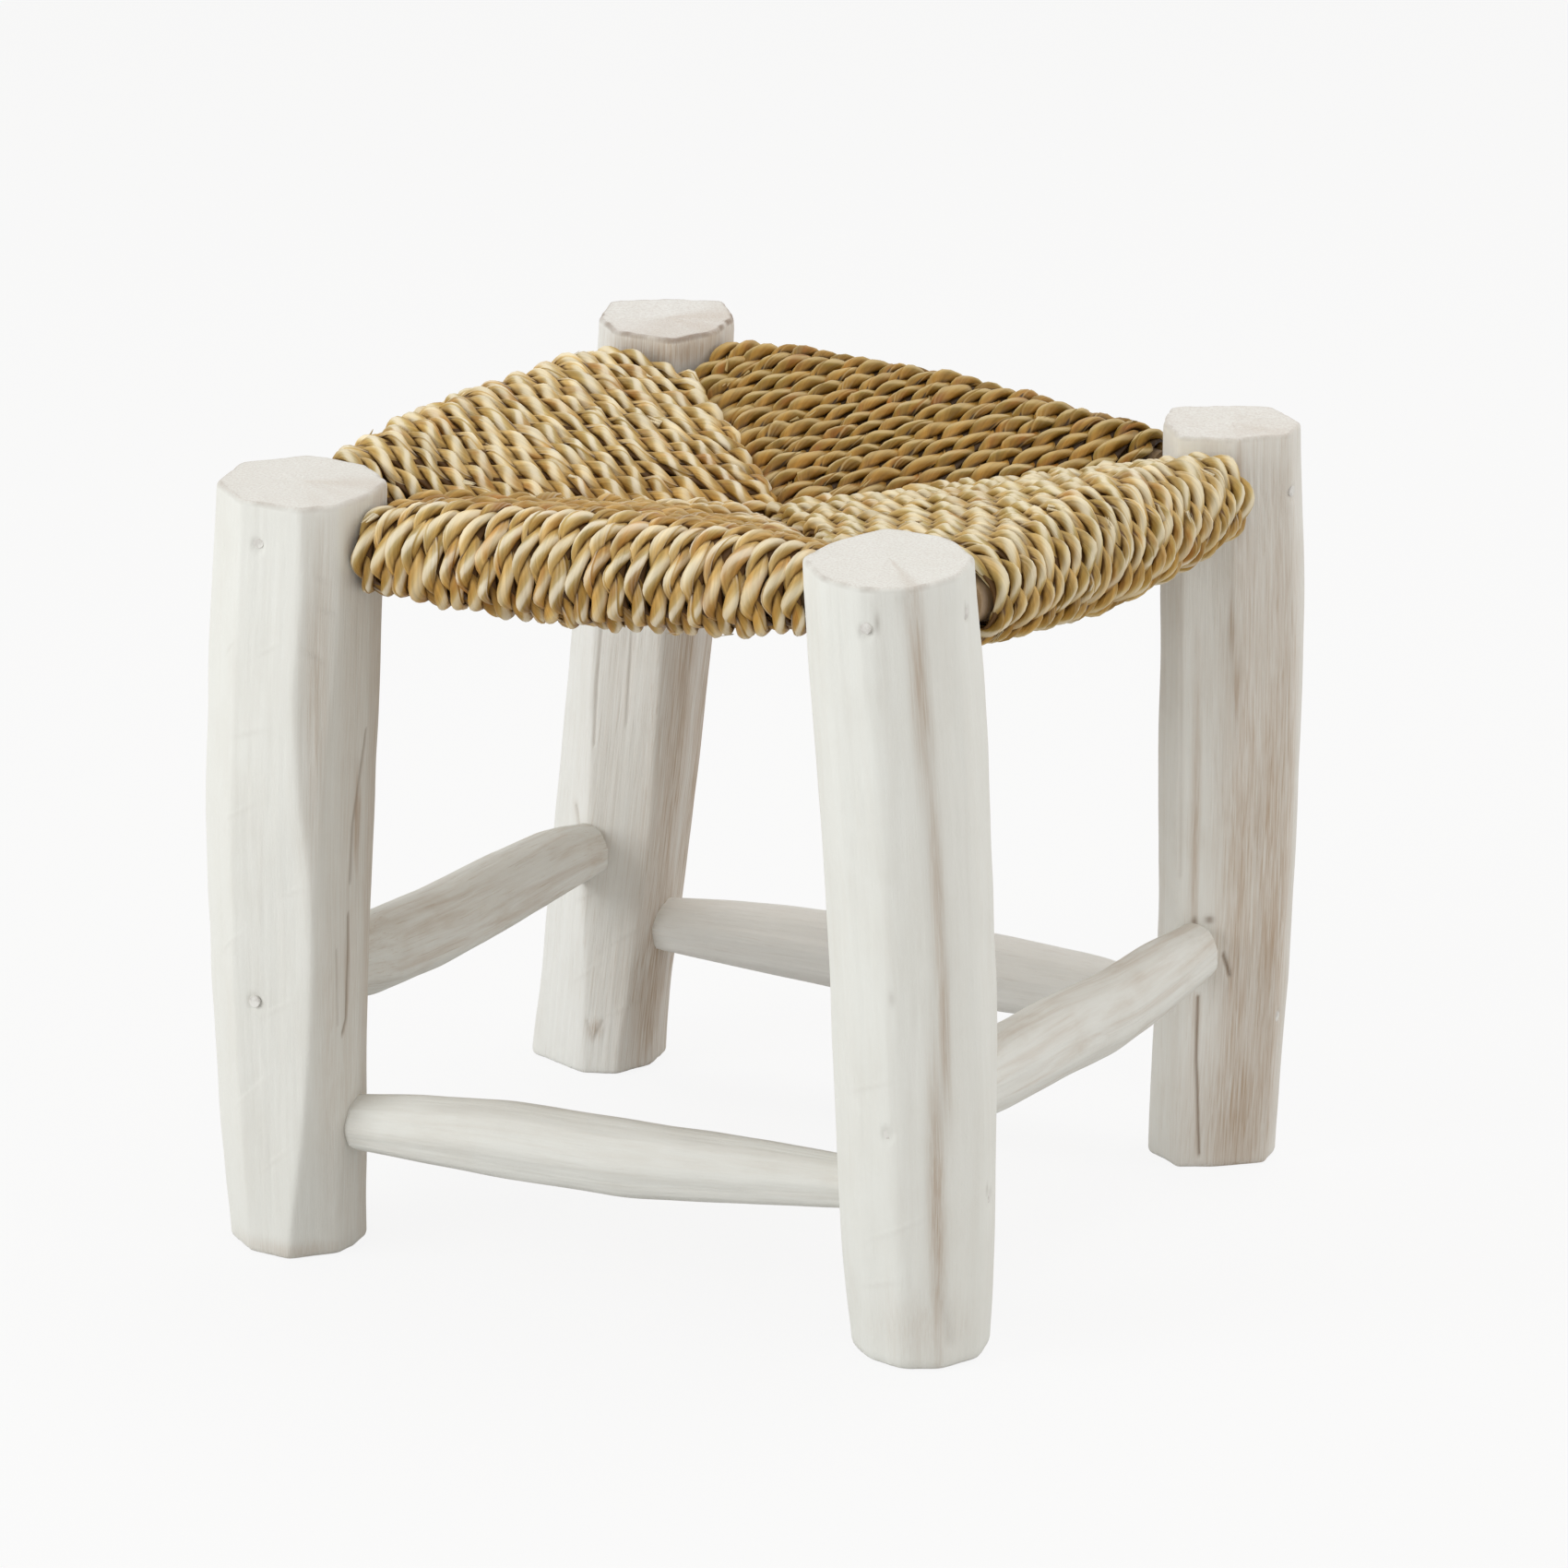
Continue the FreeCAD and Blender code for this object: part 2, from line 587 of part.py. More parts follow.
def hairpin(mitre, level, axis_point, bar_radius):
    """One course of cord: a run above, a turn round the rail and a run below."""
    stop = size("cord_diameter") / 2 + size("cord_gap")
    wrap = bar_radius + size("wrap_clearance") + size("cord_diameter") / 2
    run = FreeCAD.Vector(axis_point.x - mitre.x, axis_point.y - mitre.y, 0)
    distance = run.Length
    out = run.normalize()

    def place(along, height):
        return mitre + out * along + FreeCAD.Vector(0, 0, height)

    def touch(height, sense):
        across, rise = stop - distance, height - axis_point.z
        turn = math.atan2(rise, across) - sense * math.acos(wrap / math.hypot(across, rise))
        return place(distance + wrap * math.cos(turn), axis_point.z + wrap * math.sin(turn))

    top, bottom = level + size("layer_rise"), level - size("layer_rise")
    upper, lower = place(stop, top), place(stop, bottom)
    upper_touch, lower_touch = touch(top, 1), touch(bottom, -1)
    outside = place(distance + wrap, axis_point.z)
    path = Part.Wire([
        Part.LineSegment(upper, upper_touch).toShape(),
        Part.Arc(upper_touch, outside, lower_touch).toShape(),
        Part.LineSegment(lower_touch, lower).toShape(),
    ])
    section = Part.Wire(Part.makeCircle(size("cord_diameter") / 2, upper, upper_touch - upper))
    tube = path.makePipeShell([section], True, False)
    return tube, path


def make_panel(name, rail):
    """Triangular seat panel: courses of cord side by side round one rail."""
    corners, middle, laps = seat_layout()
    start, end = joint_pair(rail)
    along_x = abs(start.axis.x) > abs(start.axis.y)
    main = 0 if along_x else 1
    ends = [corners[rail.start], corners[rail.end]]
    centre_level = size("leg_height") - size("seat_dip")
    tubes = []
    for corner, leg_name in zip(ends, (rail.start, rail.end)):
        corner_level = sum(
            joint.origin.z for other in RAILS.values() for joint in joint_pair(other)
            if joint.leg is LEGS[leg_name]
        ) / 2
        half = (ends[0][main] + ends[1][main]) / 2 - corner[main]
        for lap in range(laps):
            share = (lap + LAP_MIDDLE_SHARE) / laps
            mitre = corner + (middle - corner) * share
            station = corner[main] + half * share
            distance = (station - start.origin[main]) / start.axis[main]
            axis_point = start.origin + start.axis * distance
            reach = size("cord_diameter") / 2
            bar = max(rail_radius(rail, distance - reach), rail_radius(rail, distance + reach))
            tube, path = hairpin(mitre, between(corner_level, centre_level, share), axis_point, bar)
            expected = path.Length * math.pi * reach ** 2
            if abs(tube.Volume / expected - 1) > VOLUME_SHARE:
                raise RuntimeError("%s lap %d: volume %.1f, not %.1f"
                                   % (name, lap, tube.Volume, expected))
            tubes.append(tube)
    panel = doc.addObject("Part::Feature", name)
    panel.Shape = Part.makeCompound(tubes)
    panel.Placement = FreeCAD.Placement()
    panel.Label = name
    return panel


def check_document():
    """Stop if any object failed to compute."""
    for item in doc.Objects:
        if "Invalid" in item.State or "Error" in item.State:
            raise RuntimeError("%s is %s" % (item.Name, item.State))


def export(parts):
    """Check each sub-part's shape, then write one file for each."""
    for part in parts:
        if part.Shape.isNull() or not part.Shape.isValid():
            raise RuntimeError("%s has no valid shape" % part.Label)
    os.makedirs(OUT_DIR, exist_ok=True)
    box = FreeCAD.BoundBox()
    for part in parts:
        part.Shape.exportStep(os.path.join(OUT_DIR, part.Label + ".step"))
        box.add(part.Shape.BoundBox)
        print("%-26s solids %2d  volume %10.1f" % (part.Label, len(part.Shape.Solids), part.Shape.Volume))
    print("box x %.2f %.2f  y %.2f %.2f  z %.2f %.2f" % (box.XMin, box.XMax, box.YMin, box.YMax,
                                                         box.ZMin, box.ZMax))


def main():
    """Build every sub-part and write its file."""
    sticks = {**RAILS, **STRETCHERS}
    joints = [joint for stick in sticks.values() for joint in joint_pair(stick)]
    parts = []
    for name, leg in LEGS.items():
        parts.append(make_leg(name, leg, [joint for joint in joints if joint.leg is leg]))
    for name, rail in RAILS.items():
        parts.append(make_rail(name, rail))
    for name, stretcher in STRETCHERS.items():
        parts.append(make_stretcher(name, stretcher))
    for name, stick in sticks.items():
        for number, joint in enumerate(joint_pair(stick), start=1):
            parts.append(make_nail("nail_%s_%d" % (name, number), joint))
    for name, rail_name in PANELS.items():
        parts.append(make_panel(name, RAILS[rail_name]))
    doc.recompute()
    check_document()
    export(parts)


main()
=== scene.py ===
"""Low stool: limewashed hewn legs and stretchers, spindle rails and a seat of twisted palm cord.

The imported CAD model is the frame: metres, origin on the floor under the middle of the stool,
+Z up and the front side towards -Y. Sizes in this file are millimetres and angles are degrees.
They become metres and radians only where a mesh, a lamp or the camera is made.
"""

from __future__ import annotations

import json
import logging
import math
from collections.abc import Sequence
from dataclasses import dataclass, field
from enum import Enum

import bpy
import numpy as np
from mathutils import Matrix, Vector

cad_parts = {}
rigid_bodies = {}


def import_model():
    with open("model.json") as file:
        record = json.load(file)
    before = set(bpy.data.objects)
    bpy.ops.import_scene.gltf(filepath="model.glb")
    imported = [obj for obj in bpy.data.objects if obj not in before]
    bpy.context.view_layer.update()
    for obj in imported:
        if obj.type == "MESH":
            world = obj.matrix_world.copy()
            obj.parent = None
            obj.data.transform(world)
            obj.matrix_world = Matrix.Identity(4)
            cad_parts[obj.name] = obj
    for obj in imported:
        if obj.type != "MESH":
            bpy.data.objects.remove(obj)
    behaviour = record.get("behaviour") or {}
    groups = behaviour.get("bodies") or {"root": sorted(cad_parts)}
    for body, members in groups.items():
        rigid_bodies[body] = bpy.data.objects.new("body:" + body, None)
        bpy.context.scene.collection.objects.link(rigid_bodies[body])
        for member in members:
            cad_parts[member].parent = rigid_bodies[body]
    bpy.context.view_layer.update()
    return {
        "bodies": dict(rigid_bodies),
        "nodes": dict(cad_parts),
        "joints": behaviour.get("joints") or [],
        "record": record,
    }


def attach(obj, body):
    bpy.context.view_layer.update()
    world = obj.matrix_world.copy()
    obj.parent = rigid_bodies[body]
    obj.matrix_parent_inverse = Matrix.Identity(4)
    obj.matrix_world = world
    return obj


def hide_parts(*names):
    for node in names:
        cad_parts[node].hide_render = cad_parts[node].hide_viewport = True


Array = np.ndarray
Colour = tuple[float, float, float]
Socket = bpy.types.NodeSocket

LOG = logging.getLogger("stool")
MM = 0.001
MM_PER_METRE = 1000.0
TURN = 2 * math.pi
UP = (0.0, 0.0, 1.0)
WHITE = (1.0, 1.0, 1.0)
GRAIN_SHIFT = 400.0
SHOULDER_GAP = 0.3
SECTION_HEIGHTS = (0.0, 0.1, 0.3, 0.55, 0.8, 1.0)
BOW_DIRECTION = (0.871, 0.492)
SPINDLE_TABLE = ((0.0, 0.0), (0.2, 0.6), (0.5, 1.0), (0.8, 0.6), (1.0, 0.0))
LEAF_COLUMNS = (0.0, 0.25, 0.55, 0.8, 1.1, 1.45, 1.9, 2.4, 2.9, 3.4, 3.9, 4.4, 4.9, 5.4, 5.85, 6.14)
PLEAT_TEETH = (0.0, -0.7, 0.6, -0.6, 0.5)
LEAF_TEETH = PLEAT_TEETH + (0.0,) * (len(LEAF_COLUMNS) - len(PLEAT_TEETH))


class Layer(Enum):
    """Which of two seat panels lies on top where they meet at a mitre."""

    OVER = "over"
    UNDER = "under"


class Slot(Enum):
    """Material slots of the record that the scene's own pieces fill."""

    WOOD = "limewashed_wood"
    CORD = "palm_cord"


# Places (out, up) through which a course rises at the mitre; up is from its upper run.
RISES = {
    Layer.OVER: ((-4.6, -12.0), (-4.0, -5.0), (-1.4, 0.3), (8.0, 0.1)),
    Layer.UNDER: ((7.6, -12.0), (8.4, -7.0), (12.0, -2.8), (20.0, -0.2)),
}


# ---------------------------------------------------------------------------------------
# Numbers
# ---------------------------------------------------------------------------------------


def smooth(value: Array) -> Array:
    """Soft step from 0 to 1: t * t * (3 - 2 * t), with t held between 0 and 1."""
    held = np.clip(value, 0.0, 1.0)
    return held * held * (3.0 - 2.0 * held)


def lattice_noise(turns: Array, along: Array, cells: int, length: float, seed: int) -> Array:
    """Smooth noise from -1 to 1 that closes round a stick.

    Random values stand on a lattice with so many cells to a turn and one row each length
    along the stick. Between them the value is blended by the soft step, both ways.

    Args:
        turns: Place round the stick, in turns.
        along: Place along the stick, in millimetres.
        cells: Number of lattice cells to a turn.
        length: Height of a lattice cell, in millimetres.
        seed: Seed of the random values.

    Returns:
        One value for each place.
    """
    rows = 97
    table = np.random.default_rng(seed).uniform(-1.0, 1.0, (rows, cells))
    u, v = turns % 1.0 * cells, along / length + rows
    i, j = np.floor(u).astype(int), np.floor(v).astype(int)
    fu, fv = smooth(u - i), smooth(v - j)

    def across(row: Array) -> Array:
        return table[row % rows, i % cells] * (1 - fu) + table[row % rows, (i + 1) % cells] * fu

    return across(j) * (1 - fv) + across(j + 1) * fv


def line_noise(count: int, step: float, length: float, rng: np.random.Generator) -> Array:
    """Smooth noise from -1 to 1 at even steps along a line, with cells of a given length."""
    along = np.arange(count) * step
    return lattice_noise(np.zeros_like(along), along, 3, length, draw_seed(rng))


def draw_seed(rng: np.random.Generator) -> int:
    """Seed for one noise table."""
    return int(rng.integers(1 << 30))


def eased(places: Array, knots: Sequence[float], values: Sequence[float], reach: float) -> Array:
    """Straight-line table look-up, averaged over a short reach either way to round its kinks."""
    offsets = np.linspace(-reach, reach, 7)
    return np.mean([np.interp(places + offset, knots, values) for offset in offsets], axis=0)


def walked(line: Array) -> Array:
    """Length of a line from its start to each of its points."""
    return np.concatenate([[0.0], np.cumsum(np.linalg.norm(np.diff(line, axis=0), axis=1))])


def points_at(line: Array, lengths: Array, places: Array) -> Array:
    """Points (count, 2) of a line at places along it, given the length up to each point."""
    return np.stack([np.interp(places, lengths, line[:, axis]) for axis in (0, 1)], axis=-1)


def polar_corners(table: Array) -> Array:
    """Corners (..., 2) from a table (..., 2) of angles in degrees and radii."""
    angles = np.radians(table[..., 0])
    return np.stack([table[..., 1] * np.cos(angles), table[..., 1] * np.sin(angles)], axis=-1)


def outline_radius(corners: Array, angles: Array, soften: float) -> Array:
    """Distance from the middle to a closed outline in each direction, at several levels.

    A ray at an angle leaves through the one edge a to b that it crosses, at a distance of
    (a x e) / (d x e), where d is the ray's direction and e = b - a. The distances are then
    blurred round the outline with a bell curve, which rounds the arrises.

    Args:
        corners: Corners of the outline, (levels, count, 2), anticlockwise.
        angles: Evenly spaced angles over one whole turn, in degrees.
        soften: Width of the bell curve, in degrees.

    Returns:
        Distances, (levels, number of angles).
    """
    edges = np.roll(corners, -1, axis=1) - corners
    way = np.stack([np.cos(np.radians(angles)), np.sin(np.radians(angles))], axis=-1)
    ax, ay = corners[:, :, None, 0], corners[:, :, None, 1]
    ex, ey = edges[:, :, None, 0], edges[:, :, None, 1]
    cross = way[None, None, :, 0] * ey - way[None, None, :, 1] * ex
    cross = np.where(np.abs(cross) < 1e-9, 1e-9, cross)
    distance = (ax * ey - ay * ex) / cross
    share = (ax * way[None, None, :, 1] - ay * way[None, None, :, 0]) / cross
    inside = (distance > 0) & (share >= -1e-6) & (share <= 1 + 1e-6)
    radius = np.where(inside, distance, 0.0).max(axis=1)
    turn = np.minimum(angles - angles[0], 360.0 - (angles - angles[0]))
    bell = np.exp(-0.5 * (turn / max(soften, 1e-3)) ** 2)
    bell /= bell.sum()
    return np.real(np.fft.ifft(np.fft.fft(radius, axis=1) * np.fft.fft(bell)[None, :], axis=1))


# ---------------------------------------------------------------------------------------
# Meshes
# ---------------------------------------------------------------------------------------


@dataclass
class Surface:
    """Points, faces and point values of a mesh that is being put together."""

    points: list[Array] = field(default_factory=list)
    faces: list[Array] = field(default_factory=list)
    values: dict[str, list[Array]] = field(default_factory=dict)
    count: int = 0

    def add_tube(self, grid: Array, values: dict[str, Array]) -> None:
        """Add a closed tube from a grid of rings, with a pole at each end.

        Row i and column j hold the ring point at step i along the tube and step j round it.
        Faces run (i, j), (i, j + 1), (i + 1, j + 1), (i + 1, j), which points them outwards.

        Args:
            grid: Ring points, (rings, columns, 3), anticlockwise seen against the tube's way.
            values: Point values by name, (rings, columns) or (rings, columns, 3).
        """
        rings, columns = grid.shape[:2]
        poles = np.stack([grid[0].mean(axis=0), grid[-1].mean(axis=0)])
        index = self.count + np.arange(rings * columns).reshape(rings, columns)
        near, far = index[:-1], index[1:]
        after = np.roll(near, -1, axis=1), np.roll(far, -1, axis=1)
        self.faces.append(np.stack([near, after[0], after[1], far], axis=-1).reshape(-1, 4))
        start, end = self.count + rings * columns, self.count + rings * columns + 1
        first, last = index[0], index[-1]
        cap = np.full(columns, start)
        self.faces.append(np.stack([np.roll(first, -1), first, cap], axis=-1))
        cap = np.full(columns, end)
        self.faces.append(np.stack([last, np.roll(last, -1), cap], axis=-1))
        self.points += [grid.reshape(-1, 3), poles]
        for name, value in values.items():
            flat = value.reshape(rings * columns, -1)
            ends = np.stack([value[0].mean(axis=0), value[-1].mean(axis=0)]).reshape(2, -1)
            self.values.setdefault(name, []).extend([flat, ends])
        self.count = end + 1

    def make(self, name: str) -> bpy.types.Object:
        """Put the surface into a new smooth mesh object at the origin, in metres."""
        mesh = bpy.data.meshes.new(name)
        points = np.concatenate(self.points) * MM
        corners = np.concatenate([face.ravel() for face in self.faces])
        sizes = np.concatenate([np.full(len(face), face.shape[1]) for face in self.faces])
        starts = np.concatenate(([0], np.cumsum(sizes)[:-1]))
        mesh.vertices.add(len(points))
        mesh.vertices.foreach_set("co", points.astype(np.float32).ravel())
        mesh.loops.add(len(corners))
        mesh.loops.foreach_set("vertex_index", corners.astype(np.int32))
        mesh.polygons.add(len(sizes))
        mesh.polygons.foreach_set("loop_start", starts.astype(np.int32))
        mesh.update(calc_edges=True)
        for key, parts in self.values.items():
            data = np.concatenate(parts).astype(np.float32)
            kind, part = ("FLOAT", "value") if data.shape[1] == 1 else ("FLOAT_VECTOR", "vector")
            mesh.attributes.new(key, kind, "POINT").data.foreach_set(part, data.ravel())
        mesh.shade_smooth()
        item = bpy.data.objects.new(name, mesh)
        bpy.context.scene.collection.objects.link(item)
        triangles = int((sizes - 2).sum())
        LOG.info("%-24s %7d points %7d triangles", name, len(points), triangles)
        return item


# ---------------------------------------------------------------------------------------
# Finishes
# ---------------------------------------------------------------------------------------


class Tree:
    """Short ways to add and join the nodes of one shader tree."""

    def __init__(self, tree: bpy.types.NodeTree) -> None:
        """Take an empty tree."""
        self.tree = tree

    def node(self, kind: str, **settings: object) -> bpy.types.Node:
        """Add a node of a kind and set its own settings."""
        made = self.tree.nodes.new(kind)
        for name, value in settings.items():
            setattr(made, name, value)
        return made

    def feed(self, target: Socket, value: object) -> None:
        """Link a socket to an input, or set the input to a number, vector or colour."""
        if isinstance(value, bpy.types.NodeSocket):
            self.tree.links.new(value, target)
        elif isinstance(value, tuple) and len(value) == 3 and target.type == "RGBA":
            target.default_value = (*value, 1.0)
        else:
            target.default_value = value

    def math(self, operation: str, first: object, second: object, clamp: bool = False) -> Socket:
        """Number worked out from two numbers."""
        made = self.node("ShaderNodeMath", operation=operation, use_clamp=clamp)
        self.feed(made.inputs[0], first)
        self.feed(made.inputs[1], second)
        return made.outputs[0]

    def times(self, first: object, second: object) -> Socket:
        """Product of two numbers."""
        return self.math("MULTIPLY", first, second)

    def plus(self, first: object, second: object, clamp: bool = False) -> Socket:
        """Sum of two numbers, held between 0 and 1 if so asked."""
        return self.math("ADD", first, second, clamp)

    def band(self, value: Socket, low: float, high: float, start: float = 0.0,
             end: float = 1.0) -> Socket:
        """Number carried from the range low to high to the range start to end, softly."""
        made = self.node("ShaderNodeMapRange", interpolation_type="SMOOTHSTEP")
        for name, number in zip(("Value", "From Min", "From Max", "To Min", "To Max"),
                                (value, low, high, start, end)):
            self.feed(made.inputs[name], number)
        return made.outputs["Result"]

    def mix(self, share: object, first: object, second: object, blend: str = "MIX") -> Socket:
        """Colour blended from two colours."""
        made = self.node("ShaderNodeMix", data_type="RGBA", blend_type=blend)
        self.feed(made.inputs["Factor"], share)
        self.feed(made.inputs["A"], first)
        self.feed(made.inputs["B"], second)
        return made.outputs["Result"]

    def stretched(self, vector: Socket, scale: tuple[float, float, float]) -> Socket:
        """Vector scaled along each axis."""
        made = self.node("ShaderNodeMapping")
        self.feed(made.inputs["Vector"], vector)
        self.feed(made.inputs["Scale"], scale)
        return made.outputs["Vector"]

    def noise(self, vector: Socket, scale: tuple[float, float, float], detail: float = 3.0,
              roughness: float = 0.5, distortion: float = 0.0) -> Socket:
        """Noise from 0 to 1 over a vector that is scaled along each axis."""
        made = self.node("ShaderNodeTexNoise")
        self.feed(made.inputs["Vector"], self.stretched(vector, scale))
        for name, number in (("Scale", 1.0), ("Detail", detail), ("Roughness", roughness),
                             ("Distortion", distortion)):
            self.feed(made.inputs[name], number)
        return made.outputs["Fac"]

    def attribute(self, name: str) -> bpy.types.Node:
        """Node that reads a point value of the mesh."""
        return self.node("ShaderNodeAttribute", attribute_name=name)

    def placed(self, group: bpy.types.NodeTree, **values: object) -> bpy.types.Node:
        """Place a node group and feed its named inputs, where _ stands for a space."""
        made = self.node("ShaderNodeGroup")
        made.node_tree = group
        for name, value in values.items():
            self.feed(made.inputs[name.replace("_", " ")], value)
        return made


@dataclass(frozen=True)
class Port:
    """One named input or output of a node group."""

    name: str
    kind: str = "NodeSocketFloat"


GROUP_OUTPUTS = (Port("Color", "NodeSocketColor"), Port("Roughness"), Port("Height"))


def new_group(name: str, inputs: Sequence[Port]) -> tuple[Tree, bpy.types.Node, bpy.types.Node]:
    """Start a node group that puts out a colour, a roughness and a height.

    Args:
        name: Name of the group.
        inputs: Its inputs.

    Returns:
        The tree, its input node and its output node.
    """
    group = bpy.data.node_groups.new(name, "ShaderNodeTree")
    for side, ports in (("INPUT", inputs), ("OUTPUT", GROUP_OUTPUTS)):
        for port in ports:
            group.interface.new_socket(name=port.name, in_out=side, socket_type=port.kind)
    tree = Tree(group)
    return tree, tree.node("NodeGroupInput"), tree.node("NodeGroupOutput")


BLOTCH_TINT = (0.93, 0.92, 0.90)
SAWN_TONE = (0.63, 0.575, 0.53)
GREY_TONE = (0.43, 0.40, 0.36)
CRACK_TONE = (0.20, 0.125, 0.075)
SHADE_TINT = (0.76, 0.63, 0.37)
FLANK_SHADE_TINT = (0.78, 0.63, 0.37)


def limewash_group() -> bpy.types.NodeTree:
    """Limewash brushed over hewn wood.

    Long soft streaks and fine fibres run along the stick. Where the wash is thin, the bare
    wood shows through them. Cracks are dark, smudges are grey, and sawn ends are blotchy.
    The bare share of the marks also carries painted shade on the legs' shaded sides.
    """
    tree, given, made = new_group("limewash_over_wood", (
        Port("Place", "NodeSocketVector"), Port("Marks", "NodeSocketVector"), Port("Sawn"),
        Port("Wash", "NodeSocketColor"), Port("Wood", "NodeSocketColor"), Port("Thin"),
        Port("Grain"),
    ))
    take, give = given.outputs, made.inputs
    marks = tree.node("ShaderNodeSeparateXYZ")
    tree.feed(marks.inputs[0], take["Marks"])
    streaks = tree.noise(take["Place"], (0.16, 0.16, 0.011), 4.0, 0.6, 0.6)
    fibres = tree.noise(take["Place"], (1.3, 1.3, 0.035), 3.0, 0.6, 0.3)
    blotches = tree.noise(take["Place"], (0.045, 0.045, 0.03), 3.0, 0.55)
    specks = tree.noise(take["Place"], (0.9, 0.9, 0.5), 2.0, 0.6)
    bare = tree.times(tree.band(streaks, 0.42, 0.72), take["Thin"])
    bare = tree.plus(bare, tree.times(tree.band(fibres, 0.56, 0.74, 0.0, 0.55), take["Grain"]))
    bare = tree.plus(bare, tree.times(tree.band(blotches, 0.5, 0.75, 0.0, 0.5), take["Thin"]))
    # Bare share of the marks: thin wash, and painted shade where wide spots lie on a leg's shaded
    # side.
    shown = tree.times(marks.outputs["Z"], tree.band(fibres, 0.25, 0.7, 0.35, 1.0))
    bare = tree.plus(bare, shown, True)
    tinted = tree.mix(tree.band(blotches, 0.3, 0.7, 0.0, 0.35), WHITE, BLOTCH_TINT)
    colour = tree.mix(1.0, tree.mix(bare, take["Wash"], take["Wood"]), tinted, "MULTIPLY")
    sawn = tree.times(take["Sawn"], tree.band(specks, 0.35, 0.75, 0.15, 0.6))
    for share, tone in ((sawn, SAWN_TONE), (marks.outputs["Y"], GREY_TONE),
                        (marks.outputs["X"], CRACK_TONE)):
        colour = tree.mix(share, colour, tone)
    relief = tree.times(fibres, tree.plus(take["Grain"], 0.25))
    relief = tree.plus(relief, tree.times(specks, 0.25))
    relief = tree.plus(relief, tree.times(streaks, 0.4))
    tree.feed(give["Color"], colour)
    tree.feed(give["Roughness"], tree.band(fibres, 0.2, 0.8, 0.62, 0.86))
    tree.feed(give["Height"], relief)
    return tree.tree


def palm_group() -> bpy.types.NodeTree:
    """Twisted palm leaf.

    Each strand changes from straw to olive to brown over a few centimetres. Fine fibres run
    along the leaf, and its edge and pleats are pale. Pale patches on its outer crests are a
    painted highlight. Its flanks and its inner side, next to the other strand, are darkened as
    painted shade, and a share input makes the leaf darker and browner as painted shade below
    the rail and along shaded runs.
    """
    tree, given, made = new_group("palm_leaf", (
        Port("Fibre", "NodeSocketVector"), Port("Depth"), Port("Edge"), Port("PaintedShade"),
        Port("Straw", "NodeSocketColor"), Port("Olive", "NodeSocketColor"),
        Port("Brown", "NodeSocketColor"), Port("Gap", "NodeSocketColor"),
        Port("Skin", "NodeSocketColor"),
        Port("Olive share"), Port("Brown share"),
    ))
    take, give = given.outputs, made.inputs
    leaf = tree.noise(take["Fibre"], (0.05, 0.05, 0.045), 2.0, 0.5)
    tone = tree.noise(take["Fibre"], (0.071, 0.067, 0.03), 3.0, 0.6)
    lines = tree.noise(take["Fibre"], (1.1, 1.1, 0.05), 2.0, 0.55)
    bands = tree.noise(take["Fibre"], (0.3, 0.3, 0.03), 2.0, 0.5)

    def patches(noise: Socket, share: Socket, soft: float) -> Socket:
        over = tree.math("SUBTRACT", noise, tree.math("SUBTRACT", 1.0, share))
        return tree.band(over, -soft, soft)

    colour = tree.mix(patches(leaf, take["Olive share"], 0.12), take["Straw"], take["Olive"])
    colour = tree.mix(patches(tone, take["Brown share"], 0.09), colour, take["Brown"])
    shaded = tree.node("ShaderNodeVectorMath", operation="SCALE")
    tree.feed(shaded.inputs[0], colour)
    tree.feed(shaded.inputs["Scale"], tree.times(tree.band(lines, 0.28, 0.68, 0.88, 1.06),
                                                 tree.band(bands, 0.3, 0.7, 0.80, 1.14)))
    # Painted shade: the leaf darker and browner below the rail and along shaded runs.
    painted_shade = tree.mix(1.0, shaded.outputs[0], SHADE_TINT, "MULTIPLY")
    leaf_with_shade = tree.mix(take["PaintedShade"], shaded.outputs[0], painted_shade)
    # Painted shade: darker flanks, and the gap colour next to the other strand.
    flank_shade = tree.mix(1.0, leaf_with_shade, FLANK_SHADE_TINT, "MULTIPLY")
    colour = tree.mix(tree.band(take["Depth"], 0.0, 0.34), take["Gap"], flank_shade)
    colour = tree.mix(tree.band(take["Depth"], 0.5, 0.92), colour, leaf_with_shade)
    # Painted highlight: pale skin colour on the outer crests, in patches; the pale leaf edges are
    # the leaf's own.
    crest_highlight = tree.times(tree.band(take["Depth"], 0.8, 1.0), tree.band(leaf, 0.32, 0.68, 0.25, 0.75))
    pale = tree.plus(crest_highlight, tree.times(take["Edge"], 0.4), True)
    tree.feed(give["Color"], tree.mix(pale, colour, take["Skin"]))
    tree.feed(give["Roughness"], tree.band(lines, 0.3, 0.7, 0.55, 0.4))
    tree.feed(give["Height"], tree.plus(tree.times(lines, 0.45), tree.times(bands, 0.6)))
    return tree.tree


def new_material(name: str) -> tuple[bpy.types.Material, Tree, bpy.types.Node]:
    """Start a material.

    Args:
        name: Name of the material.

    Returns:
        The material, its tree and its shader node.
    """
    material = bpy.data.materials.new(name)
    material.use_nodes = True
    return material, Tree(material.node_tree), material.node_tree.nodes["Principled BSDF"]


@dataclass(frozen=True)
class Relief:
    """How a group's height becomes a bump, its depth in metres, and the shader's specular level."""

    strength: float
    distance: float
    specular: float

    def feed(self, tree: Tree, shader: bpy.types.Node, source: bpy.types.Node) -> None:
        """Feed the shader from the colour, roughness and height that a group puts out."""
        bump = tree.node("ShaderNodeBump")
        tree.feed(bump.inputs["Strength"], self.strength)
        tree.feed(bump.inputs["Distance"], self.distance)
        tree.feed(bump.inputs["Height"], source.outputs["Height"])
        tree.feed(shader.inputs["Base Color"], source.outputs["Color"])
        tree.feed(shader.inputs["Roughness"], source.outputs["Roughness"])
        tree.feed(shader.inputs["Normal"], bump.outputs["Normal"])
        tree.feed(shader.inputs["Specular IOR Level"], self.specular)


